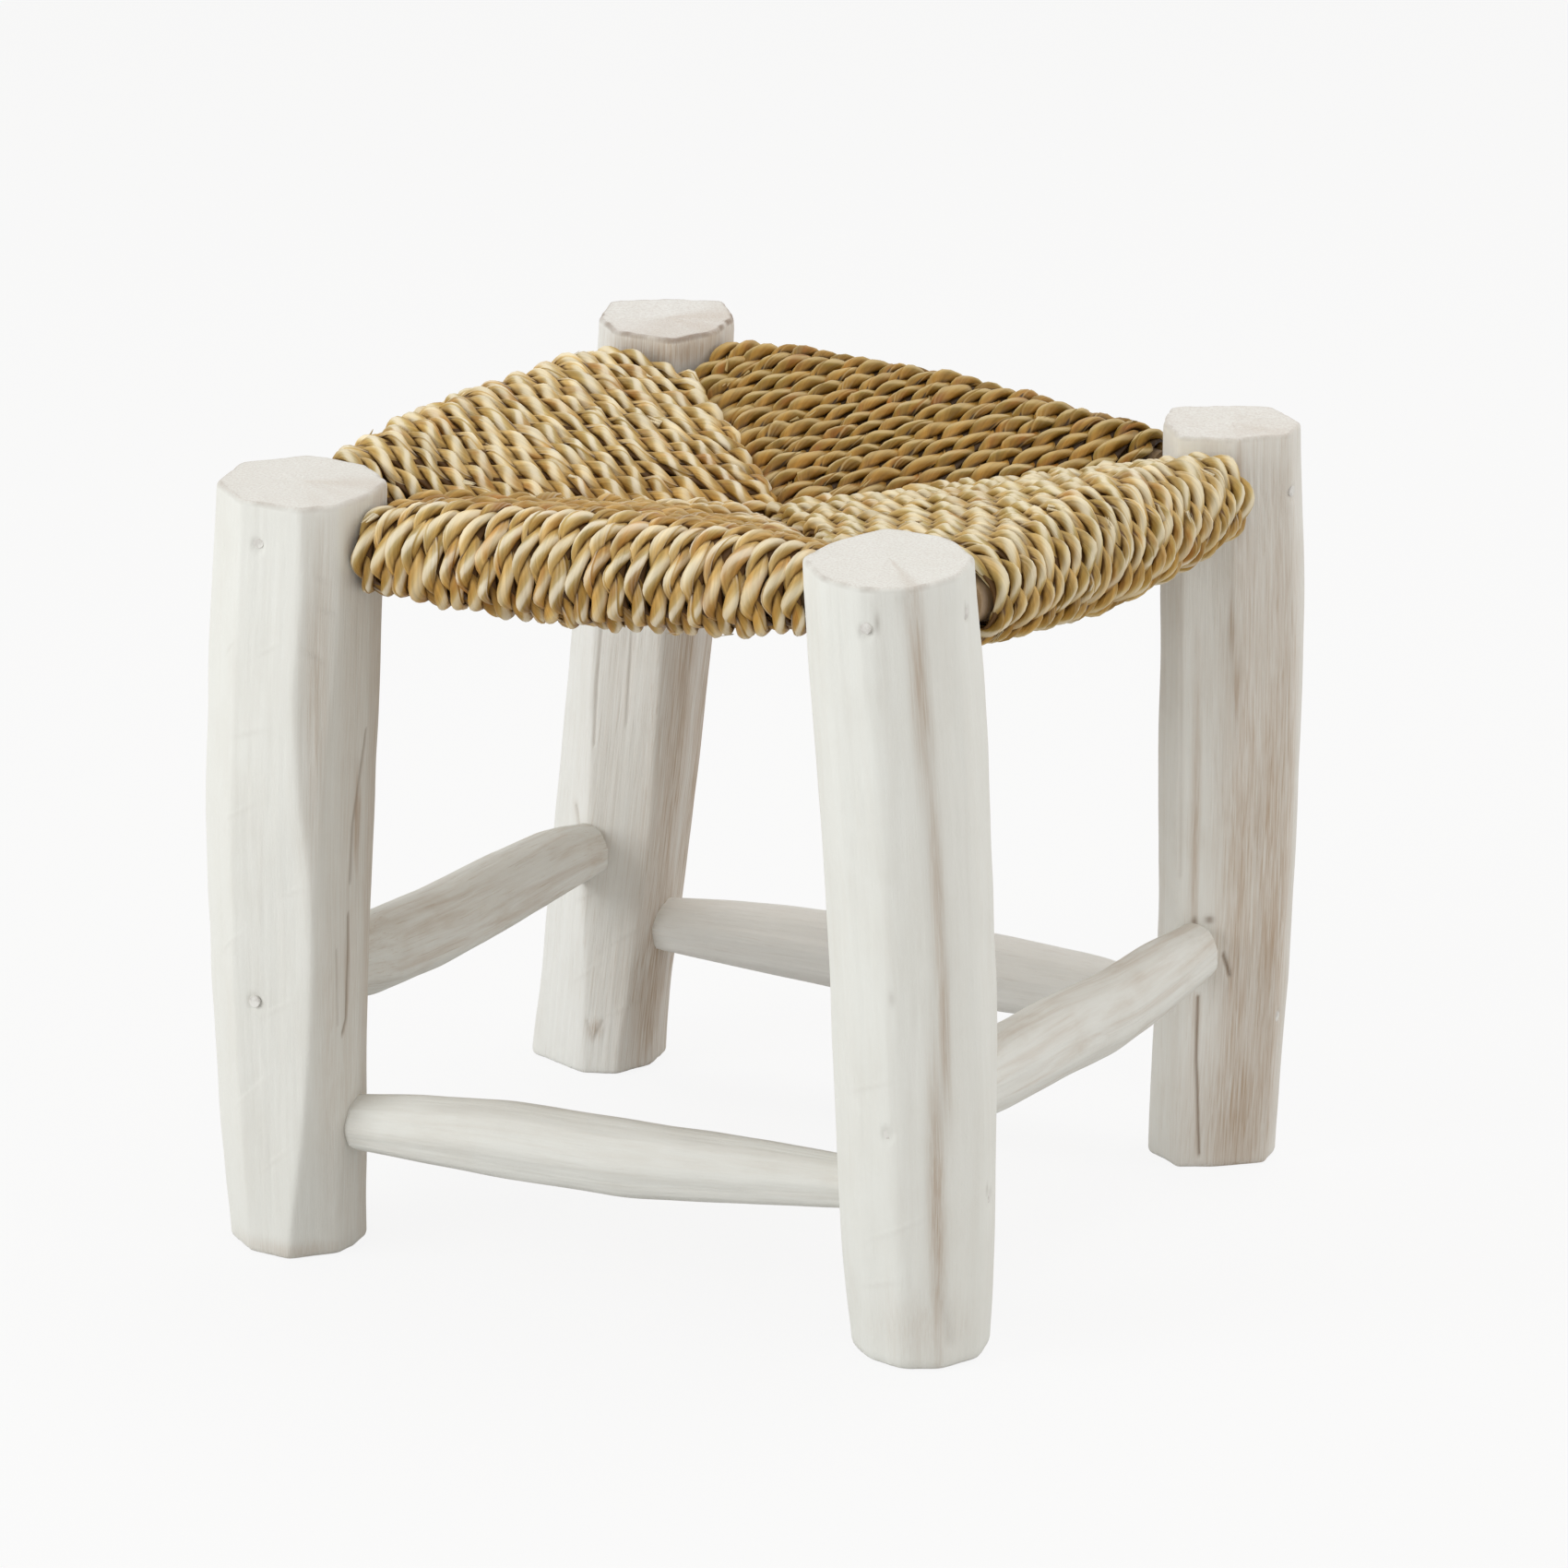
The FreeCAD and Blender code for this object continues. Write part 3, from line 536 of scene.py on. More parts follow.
@dataclass(frozen=True)
class Limewash:
    """Limewash on one stick: colours of wash and wood, thinness, and strength of the grain."""

    name: str
    wash: Colour = (0.83, 0.835, 0.80)
    wood: Colour = (0.52, 0.40, 0.295)
    thin: float = 0.1
    grain: float = 0.12
    relief: Relief = Relief(0.5, 0.0007, 0.25)

    def make(self, group: bpy.types.NodeTree, on_frame: bool = False) -> bpy.types.Material:
        """Build the material.

        Args:
            group: The limewash group.
            on_frame: True for a CAD node, which has no point values, so that the pattern
                follows Object coordinates.

        Returns:
            The material.
        """
        material, tree, shader = new_material(self.name)
        wash = tree.placed(group, Wash=self.wash, Wood=self.wood, Thin=self.thin, Grain=self.grain)
        if on_frame:
            places = tree.node("ShaderNodeTexCoord").outputs["Object"]
            tree.feed(wash.inputs["Place"], tree.stretched(places, (MM_PER_METRE,) * 3))
        else:
            tree.feed(wash.inputs["Place"], tree.attribute("grain_place").outputs["Vector"])
            tree.feed(wash.inputs["Marks"], tree.attribute("marks").outputs["Vector"])
            tree.feed(wash.inputs["Sawn"], tree.attribute("sawn").outputs["Fac"])
        self.relief.feed(tree, shader, wash)
        return material


@dataclass(frozen=True)
class PalmLeaf:
    """Palm leaf of one seat panel: its colours, and the shares of olive and brown leaf."""

    name: str
    straw: Colour = (0.84, 0.71, 0.45)
    olive: Colour = (0.60, 0.47, 0.21)
    brown: Colour = (0.60, 0.36, 0.13)
    # Colour of painted shade between the strands and on the dark filler.
    gap: Colour = (0.13, 0.065, 0.02)
    skin_and_highlight: Colour = (0.93, 0.86, 0.70)
    olive_share: float = 0.5
    brown_share: float = 0.38
    relief: Relief = Relief(0.6, 0.0008, 0.22)

    def make(self, group: bpy.types.NodeTree) -> bpy.types.Material:
        """Build the material with the palm group."""
        material, tree, shader = new_material(self.name)
        leaf = tree.placed(group, Straw=self.straw, Olive=self.olive, Brown=self.brown,
                           Gap=self.gap, Skin=self.skin_and_highlight, Olive_share=self.olive_share,
                           Brown_share=self.brown_share)
        tree.feed(leaf.inputs["Fibre"], tree.attribute("fibre").outputs["Vector"])
        for name, key in (("Depth", "depth"), ("Edge", "leaf_edge"), ("PaintedShade", "painted_shade")):
            tree.feed(leaf.inputs[name], tree.attribute(key).outputs["Fac"])
        self.relief.feed(tree, shader, leaf)
        return material


@dataclass(frozen=True)
class PaintedSteel:
    """Nail head under thin limewash: grey steel shows in soft spots."""

    name: str = "washed_nail_head"
    wash: Colour = (0.80, 0.79, 0.76)
    steel: Colour = (0.62, 0.60, 0.57)
    spots_per_metre: float = 300.0

    def make(self) -> bpy.types.Material:
        """Build the material on Object coordinates."""
        material, tree, shader = new_material(self.name)
        places = tree.node("ShaderNodeTexCoord").outputs["Object"]
        spots = tree.noise(places, (self.spots_per_metre,) * 3, 2.0, 0.5)
        colour = tree.mix(tree.band(spots, 0.4, 0.62), self.wash, self.steel)
        tree.feed(shader.inputs["Base Color"], colour)
        tree.feed(shader.inputs["Roughness"], tree.band(spots, 0.3, 0.7, 0.75, 0.5))
        tree.feed(shader.inputs["Metallic"], tree.band(spots, 0.5, 0.65, 0.0, 0.2))
        return material


def stand_in(item: bpy.types.Object, finish: bpy.types.Material, node: str) -> None:
    """Dress a piece and let it stand for its CAD node on the root body."""
    item.data.materials.append(finish)
    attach(item, "root")
    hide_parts(node)


# ---------------------------------------------------------------------------------------
# Hewn sticks
# ---------------------------------------------------------------------------------------


@dataclass(frozen=True)
class Crack:
    """Split along the grain: places (height, angle) that it runs through, width and depth.

    dark says from 0 to 1 how brown it is.
    """

    places: tuple[tuple[float, float], ...]
    width: float = 0.7
    depth: float = 0.5
    dark: float = 0.8


@dataclass(frozen=True)
class SmudgeAndShade:
    """Soft spot: height, angle, half height, half width in millimetres, and its strengths.

    brown, grey and bare say how dark it is, how grey, and how much wood shows through. A
    wide bare spot on a leg's shaded side is painted shade as well as thin wash. A depth
    below 0 raises the surface.
    """

    height: float
    angle: float
    half_height: float
    half_width: float
    brown: float = 0.0
    grey: float = 0.0
    bare: float = 0.0
    depth: float = 0.0


@dataclass(frozen=True)
class Notch:
    """Step that an adze left: height, angle, half width, length of its tail, depth and slant."""

    height: float
    angle: float
    half_width: float = 9.0
    tail: float = 16.0
    depth: float = 0.6
    slant: float = 0.5


@dataclass(frozen=True)
class Hewing:
    """What the tools and the wood left on one stick, and spots of painted shade on a leg.

    soften is how wide the arrises are rounded and sway how far they wander, in degrees.
    scoop and fibre are heights of the tool's scoops and of the fibres, in millimetres.
    """

    seed: int
    soften: float = 3.2
    scoop: float = 0.55
    scoop_length: float = 46.0
    sway: float = 2.0
    fibre: float = 0.10
    cracks: tuple[Crack, ...] = ()
    smudges: tuple[SmudgeAndShade, ...] = ()
    notches: tuple[Notch, ...] = ()

    def sway_turns(self, turns: Array, along: Array) -> Array:
        """Slow wander of the arrises round the stick, in turns."""
        wave = lattice_noise(turns, along, 5, self.scoop_length * 1.3, self.seed + 11)
        return wave * self.sway / 360.0

    def relief(self, turns: Array, along: Array) -> Array:
        """Height of the hewn surface over its plain facets, in millimetres.

        It is scoop * noise of long cells, less the steps of small cells, plus
        fibre * noise of thin cells that run along the stick.
        """
        broad = lattice_noise(turns, along, 9, self.scoop_length, self.seed)
        small = lattice_noise(turns, along, 17, self.scoop_length * 0.42, self.seed + 1)
        thin = lattice_noise(turns, along, 90, 38.0, self.seed + 2)
        fine = lattice_noise(turns, along, 150, 17.0, self.seed + 3)
        return (self.scoop * (broad - 0.35) * 0.8 + self.scoop * 0.42 * small
                + self.fibre * (thin + 0.6 * fine))

    def features(self, turns: Array, along: Array, radius: float) -> tuple[Array, Array]:
        """Relief and marks of the cracks, smudges and notches.

        A place's distance from a feature is measured on the unrolled surface, where a turn
        is 2 * pi * radius long.

        Args:
            turns: Place round the stick, in turns.
            along: Place along the stick.
            radius: Mean radius of the stick.

        Returns:
            Relief in millimetres, and marks (brown, grey, bare) from 0 to 1.
        """
        relief = np.zeros_like(turns)
        marks = np.zeros((*turns.shape, 3))

        def across(angle: float) -> Array:
            return ((turns - angle / 360.0 + 0.5) % 1.0 - 0.5) * TURN * radius

        for crack in self.cracks:
            for (h0, a0), (h1, a1) in zip(crack.places, crack.places[1:]):
                x, z = across(a0), along - h0
                dx, dz = math.radians(a1 - a0) * radius, h1 - h0
                share = np.clip((x * dx + z * dz) / (dx * dx + dz * dz), 0.0, 1.0)
                gap = np.hypot(x - share * dx, z - share * dz) / crack.width
                near = np.exp(-gap ** 2)
                relief = np.minimum(relief, -crack.depth * near)
                marks[..., 0] = np.maximum(marks[..., 0], crack.dark * near)
                halo = 0.8 * crack.dark * np.exp(-(gap / 3.0) ** 2)
                marks[..., 2] = np.maximum(marks[..., 2], halo)
        for spot in self.smudges:
            near = np.exp(-(across(spot.angle) / spot.half_width) ** 2
                          - ((along - spot.height) / spot.half_height) ** 2)
            relief = relief - spot.depth * near
            for index, strength in enumerate((spot.brown, spot.grey, spot.bare)):
                marks[..., index] = np.maximum(marks[..., index], strength * near)
        for notch in self.notches:
            x = across(notch.angle)
            z = along - notch.height - notch.slant * x
            side = np.exp(-(x / notch.half_width) ** 2)
            tail = smooth(z / 1.5) * np.exp(-np.maximum(z, 0.0) / notch.tail)
            relief = relief - notch.depth * side * tail
            marks[..., 1] = np.maximum(marks[..., 1], 0.15 * side * np.exp(-(z / 1.3) ** 2))
        return relief, marks


def hewn_tube(grid: Array, across: tuple[Array, Array], along: Array, seed: int, marks: Array,
              sawn: Array) -> Surface:
    """Closed surface of a stick, with the point values that the limewash reads.

    Args:
        grid: Points, (rings, columns, 3).
        across: Places of the points across the stick.
        along: Places of the points along it.
        seed: Seed of the stick, which moves the grain's pattern.
        marks: Strengths (brown, grey, bare) of the marks, (rings, columns, 3).
        sawn: 1 on sawn ends, (rings, 1) or (rings, columns).

    Returns:
        The surface.
    """
    surface = Surface()
    surface.add_tube(grid, {
        "grain_place": np.stack([*across, along + seed * GRAIN_SHIFT], axis=-1),
        "marks": marks,
        "sawn": np.broadcast_to(sawn, along.shape),
    })
    return surface


@dataclass(frozen=True)
class NailPlace:
    """Line of a nail that is driven into a leg: a point on it and its inward way."""

    point: tuple[float, float, float]
    way: tuple[float, float, float]
    radius: float = 2.9
    depth: float = 1.0
    grey: float = 0.20

    def dimple(self, places: Array) -> tuple[Array, Array]:
        """Depth of the sunk spot over the nail's head, and the grey ring round it.

        With d the distance from the nail's line, the depth is depth / (1 + (d / radius) ** 8)
        on the side from which the nail goes in.

        Args:
            places: Places on the leg's surface.

        Returns:
            Depths in millimetres, and strengths from 0 to 1.
        """
        offset = places - np.array(self.point)
        way = np.array(self.way)
        along = offset @ way
        gap = np.linalg.norm(offset - along[..., None] * way, axis=-1) / self.radius
        outside = along < 0
        return (self.depth / (1 + gap ** 8) * outside,
                self.grey * np.exp(-np.minimum(gap, 4.0) ** 2) * outside)


@dataclass
class Leg:
    """One hewn leg, from the same named sizes as its CAD node.

    widths are shares of the radius at the section heights. outline is its section, as angles
    and radius shares. The sawn top falls by slope towards slope_way, and rim_line is how
    brown its rim is.
    """

    node: str
    side: tuple[int, int]
    radius: float
    height_share: float
    top_shift: tuple[float, float]
    foot_shift: tuple[float, float]
    bow: float
    widths: tuple[float, ...]
    outline: tuple[tuple[float, float], ...]
    hewing: Hewing
    finish: Limewash
    slope: float = 4.0
    slope_way: float = 120.0
    paths: dict[int, tuple[tuple[float, float, float], ...]] = field(default_factory=dict)
    foot_ease: float = 2.2
    rim_line: float = 0.3
    full_height: float = 330.0
    span: tuple[float, float] = (280.0, 284.0)
    columns: int = 360
    rows: int = 226
    chip_depth: float = 0.6
    face_rough: float = 0.25
    nails: list[NailPlace] = field(default_factory=list)

    @property
    def height(self) -> float:
        """Height of the leg's top."""
        return self.full_height * self.height_share

    def shift(self, axis: int) -> list[float]:
        """Shift from the stool's corner at each section, in leg radii.

        At a height share s it is foot + (top - foot) * s + bow * 4 * s * (1 - s) * direction.
        """
        foot, top = self.foot_shift[axis], self.top_shift[axis]
        return [foot + (top - foot) * s + self.bow * 4 * s * (1 - s) * BOW_DIRECTION[axis]
                for s in SECTION_HEIGHTS]

    def corner_place(self, axis: int) -> float:
        """Place of the stool's corner along an axis."""
        return self.side[axis] * self.span[axis] / 2

    def centre(self, height: float) -> Array:
        """Middle of the leg at a height."""
        share = height / self.height
        level = [self.corner_place(axis)
                 + self.radius * np.interp(share, SECTION_HEIGHTS, self.shift(axis))
                 for axis in (0, 1)]
        return np.array([*level, height])

    def corners(self) -> Array:
        """Corners of the outline in leg radii, (count, 2)."""
        return polar_corners(np.array(self.outline))

    def corner_paths(self, shares: Array) -> Array:
        """Corners of the outline at several height shares, in leg radii.

        A corner with a path of (height share, angle, radius share) moves along it, because an
        arris wanders down the leg. The others keep their place in the outline.

        Args:
            shares: Height shares.

        Returns:
            Corners, (levels, count, 2).
        """
        table = np.repeat(np.array(self.outline, float)[None], len(shares), axis=0)
        for index, path in self.paths.items():
            knots = np.array(sorted(path))
            table[:, index, 0] = eased(shares, knots[:, 0], knots[:, 1], 0.03)
            table[:, index, 1] = eased(shares, knots[:, 0], knots[:, 2], 0.03)
        return polar_corners(table)

    def reach(self, height: float, way: Array) -> float:
        """How far the section reaches from its middle in a level direction."""
        width = np.interp(height / self.height, SECTION_HEIGHTS, self.widths) * self.radius
        return float((self.corners() @ way[:2]).max() * width)

    def levels(self) -> tuple[Array, Array, Array]:
        """Height, inset and sawn share of each ring, from the foot's middle to the top's.

        Returns:
            Heights in millimetres, insets as shares of the radius, and 1 on sawn faces.
        """
        top = self.height
        foot_insets = np.array([0.2, 0.5, 0.8, 0.93, 0.965, 0.985, 1.0])
        foot_heights = np.array([0.0, 0.0, 0.0, 0.0, 0.1, 0.4, 1.0]) * self.foot_ease
        sides = np.linspace(self.foot_ease + 1.5, top - 2.4, self.rows)
        rim_heights = top - np.array([1.5, 0.8, 0.3, 0.05])
        rim_insets = np.array([0.998, 0.99, 0.978, 0.962])
        face_insets = np.array([0.94, 0.9, 0.84, 0.76, 0.68, 0.6, 0.52, 0.44, 0.36, 0.28, 0.2, 0.12,
                                0.05])
        heights = np.concatenate([foot_heights, sides, rim_heights, np.full(len(face_insets), top)])
        insets = np.concatenate([foot_insets, np.ones(len(sides)), rim_insets, face_insets])
        sawn = np.concatenate([[1.0] * 4, np.zeros(3 + len(sides)), [0.0, 0.3, 0.8, 1.0],
                               np.ones(len(face_insets))])
        return heights, insets, sawn

    def surface(self) -> Surface:
        """Closed surface of the leg.

        At height z and angle a the radius is radius * width(z) * outline(a) + relief(a, z),
        times the ring's inset. The relief also has chips along the top's rim and the sunk
        spots over the nails. The top slopes by slope * (place in the slope's way) / (2 *
        radius), which fades out down the leg.
        """
        heights, insets, sawn = self.levels()
        turns = np.arange(self.columns) / self.columns
        shares = heights / self.height
        knots = np.array(SECTION_HEIGHTS)
        width = eased(shares, knots, self.widths, 0.05) * self.radius
        middle = [self.corner_place(axis)
                  + self.radius * eased(shares, knots, self.shift(axis), 0.05) for axis in (0, 1)]
        fine = np.arange(1440) / 4.0
        steps = np.linspace(0.0, 1.0, 41)
        outline = outline_radius(self.corner_paths(steps), fine, self.hewing.soften)
        grid_turns, grid_heights = np.meshgrid(turns, heights)
        sway = self.hewing.sway_turns(grid_turns, grid_heights)
        place = (grid_turns + sway) % 1.0 * len(fine)
        low = np.floor(place).astype(int)
        part = place - low
        step = np.clip(shares * (len(steps) - 1), 0, len(steps) - 1.001)
        base = np.floor(step).astype(int)[:, None]
        blend = (step - np.floor(step))[:, None]
        after = (low + 1) % len(fine)
        low = low % len(fine)

        def section(level: Array) -> Array:
            return outline[level, low] * (1 - part) + outline[level, after] * part

        form = section(base) * (1 - blend) + section(base + 1) * blend
        relief, marks = self.hewing.features(grid_turns, grid_heights, self.radius)
        relief = relief + self.hewing.relief(grid_turns, grid_heights)
        cosine, sine = np.cos(TURN * grid_turns), np.sin(TURN * grid_turns)
        x0, y0 = width[:, None] * form * cosine, width[:, None] * form * sine
        rim = smooth((shares - 0.985) / 0.015)[:, None]
        chips = lattice_noise(grid_turns, grid_heights, 44, 9.0, self.hewing.seed + 21)
        relief = relief - rim * self.chip_depth * np.maximum(chips, 0.0)
        line = smooth((shares - 0.993) / 0.004) * smooth((insets - 0.93) / 0.03)
        rim_mark = self.rim_line * line[:, None] * (0.55 + 0.45 * chips)
        marks[..., 0] = np.maximum(marks[..., 0], rim_mark)
        for nail in self.nails:
            dent, ring = nail.dimple(np.stack([x0 + middle[0][:, None], y0 + middle[1][:, None],
                                               grid_heights], axis=-1))
            relief = relief - dent
            marks[..., 1] = np.maximum(marks[..., 1], ring)
        radius = (width[:, None] * form + relief) * insets[:, None]
        x, y = radius * cosine, radius * sine
        way = math.radians(self.slope_way)
        lift = smooth((shares - 0.7) / 0.3)[:, None]
        slope = self.slope * (x * math.cos(way) + y * math.sin(way)) / (2 * self.radius)
        face = sawn[:, None] * (shares > 0.5)[:, None]
        rough = self.face_rough * lattice_noise(grid_turns, radius, 30, 3.5, self.hewing.seed + 31)
        z = grid_heights + lift * slope + face * rough * np.minimum(radius / 6.0, 1.0)
        grid = np.stack([x + middle[0][:, None], y + middle[1][:, None], z], axis=-1)
        return hewn_tube(grid, (x, y), grid_heights, self.hewing.seed, marks, sawn[:, None])

    def make(self, group: bpy.types.NodeTree) -> None:
        """Build the leg, dress it and let it stand for its CAD node."""
        leg = self.surface().make("hewn_" + self.node)
        stand_in(leg, self.finish.make(group), self.node)


@dataclass
class Stick:
    """A rail or stretcher between two legs: where it meets them, and its radius."""

    node: str
    start: Leg
    end: Leg
    levels: tuple[float, float]
    radius: float
    outward: tuple[float, float] = (0.0, 0.0)
    nail_rises: tuple[float, float] = field(default=(0.0, 0.0), kw_only=True)

    def ends(self) -> tuple[Array, Array]:
        """Places on the axis inside both legs."""
        along_x = self.start.side[1] == self.end.side[1]
        places = []
        for leg, level, share in zip((self.start, self.end), self.levels, self.outward):
            way = np.array([0.0, leg.side[1], 0.0] if along_x else [leg.side[0], 0.0, 0.0])
            places.append(leg.centre(level) + way * leg.radius * share)
        return places[0], places[1]

    def axis(self) -> Array:
        """Unit vector from the start to the end."""
        start, end = self.ends()
        return (end - start) / np.linalg.norm(end - start)

    def shoulders(self) -> tuple[float, float]:
        """Distances from the start at which the stick leaves one leg and enters the other."""
        start, end = self.ends()
        axis = self.axis()
        level = np.array([axis[0], axis[1], 0.0])
        level /= np.linalg.norm(level)
        low = self.start.reach(self.levels[0], level) + SHOULDER_GAP
        high = np.linalg.norm(end - start) - self.end.reach(self.levels[1], -level) - SHOULDER_GAP
        return float(low), float(high)

    def cross_axes(self) -> tuple[Array, Array]:
        """Unit vectors square to the axis: the level one, and the one that it leaves upright."""
        axis = self.axis()
        side = np.cross(UP, axis)
        side /= np.linalg.norm(side)
        return side, np.cross(axis, side)

    def mark_nails(self) -> None:
        """Note on both legs the lines of the nails that hold this stick."""
        axis = self.axis()
        _, lift = self.cross_axes()
        for leg, place, sense, rise in zip((self.start, self.end), self.ends(), (1, -1),
                                           self.nail_rises):
            point = place + lift * rise
            leg.nails.append(NailPlace(tuple(point), tuple(sense * axis)))


@dataclass
class Stretcher(Stick):
    """Hewn stretcher that swells between the legs and tapers into them.

    sections are (share along, width, sideways, upward), the last three in radii. Inside the
    legs it narrows to its tenon, comes back to its axis and loses its relief.
    """

    sections: tuple[tuple[float, float, float, float], ...] = ()
    outline: tuple[tuple[float, float], ...] = ()
    hewing: Hewing = Hewing(0)
    finish: Limewash = Limewash("limewash")
    columns: int = 180
    tenon: float = 8.0
    inside: float = 11.0
    ring_step: float = 1.15
    tenon_step: float = 1.5
    narrow_length: float = 5.0
    straight_length: float = 8.0
    plain_length: float = 6.0

    def surface(self) -> Surface:
        """Closed surface of the stretcher.

        At a distance t along the axis and angle a the point is axis point + radius * (sideways
        + width * outline(a) * cos(a)) * side + radius * (upward + width * outline(a) *
        sin(a)) * lift, with the relief added to the radius.
        """
        low, high = self.shoulders()
        start, _ = self.ends()
        axis = self.axis()
        side, lift = self.cross_axes()
        first, step = low - self.inside, self.tenon_step
        along = np.concatenate([
            [first, first + 0.6], np.arange(first + 2.0, low, step),
            np.linspace(low, high, int((high - low) / self.ring_step)),
            np.arange(high + step, high + self.inside, step), [high + self.inside]])
        table = np.array(self.sections)
        shares = (along - low) / (high - low)
        columns = [eased(shares, table[:, 0], table[:, column], 0.03) for column in (1, 2, 3)]
        width, sideways, upward = (column * self.radius for column in columns)
        beyond = np.maximum(np.maximum(low - along, along - high), 0.0)
        narrowed = smooth(beyond / self.narrow_length)
        width = width + (np.minimum(width, self.tenon) - width) * narrowed
        bent = 1 - smooth(beyond / self.straight_length)
        sideways, upward = sideways * bent, upward * bent
        turns = np.arange(self.columns) / self.columns
        fine = np.arange(720) / 2.0
        corners = polar_corners(np.array(self.outline))
        outline = outline_radius(corners[None], fine, self.hewing.soften)[0]
        grid_turns, grid_along = np.meshgrid(turns, along)
        sway = self.hewing.sway_turns(grid_turns, grid_along) * 2.0
        form = np.interp((grid_turns + sway) % 1.0 * 360.0, np.append(fine, 360.0),
                         np.append(outline, outline[0]))
        relief, marks = self.hewing.features(grid_turns, grid_along, self.radius)
        relief = relief + self.hewing.relief(grid_turns, grid_along)
        fade = 1 - smooth(beyond / self.plain_length)[:, None]
        radius = width[:, None] * form + relief * fade
        x, y = radius * np.cos(TURN * grid_turns), radius * np.sin(TURN * grid_turns)
        grid = (start + along[:, None, None] * axis
                + (x + sideways[:, None])[..., None] * side
                + (y + upward[:, None])[..., None] * lift)
        return hewn_tube(grid, (x, y), grid_along, self.hewing.seed, marks, np.zeros_like(x))

    def make(self, group: bpy.types.NodeTree) -> None:
        """Build the stretcher, dress it and let it stand for its CAD node."""
        item = self.surface().make("hewn_" + self.node)
        stand_in(item, self.finish.make(group), self.node)


# ---------------------------------------------------------------------------------------
# Seat
# ---------------------------------------------------------------------------------------


@dataclass
class Rail(Stick):
    """Spindle rail under the seat cord."""

    end_radius: float = 9.8

    def bar_radius(self, distance: float) -> float:
        """Radius at a distance from the start, by the spindle table between the shoulders."""
        low, high = self.shoulders()
        share = min(max((distance - low) / (high - low), 0.0), 1.0)
        table = np.array(SPINDLE_TABLE)
        swell = float(np.interp(share, table[:, 0], table[:, 1]))
        return self.end_radius + (self.radius - self.end_radius) * swell


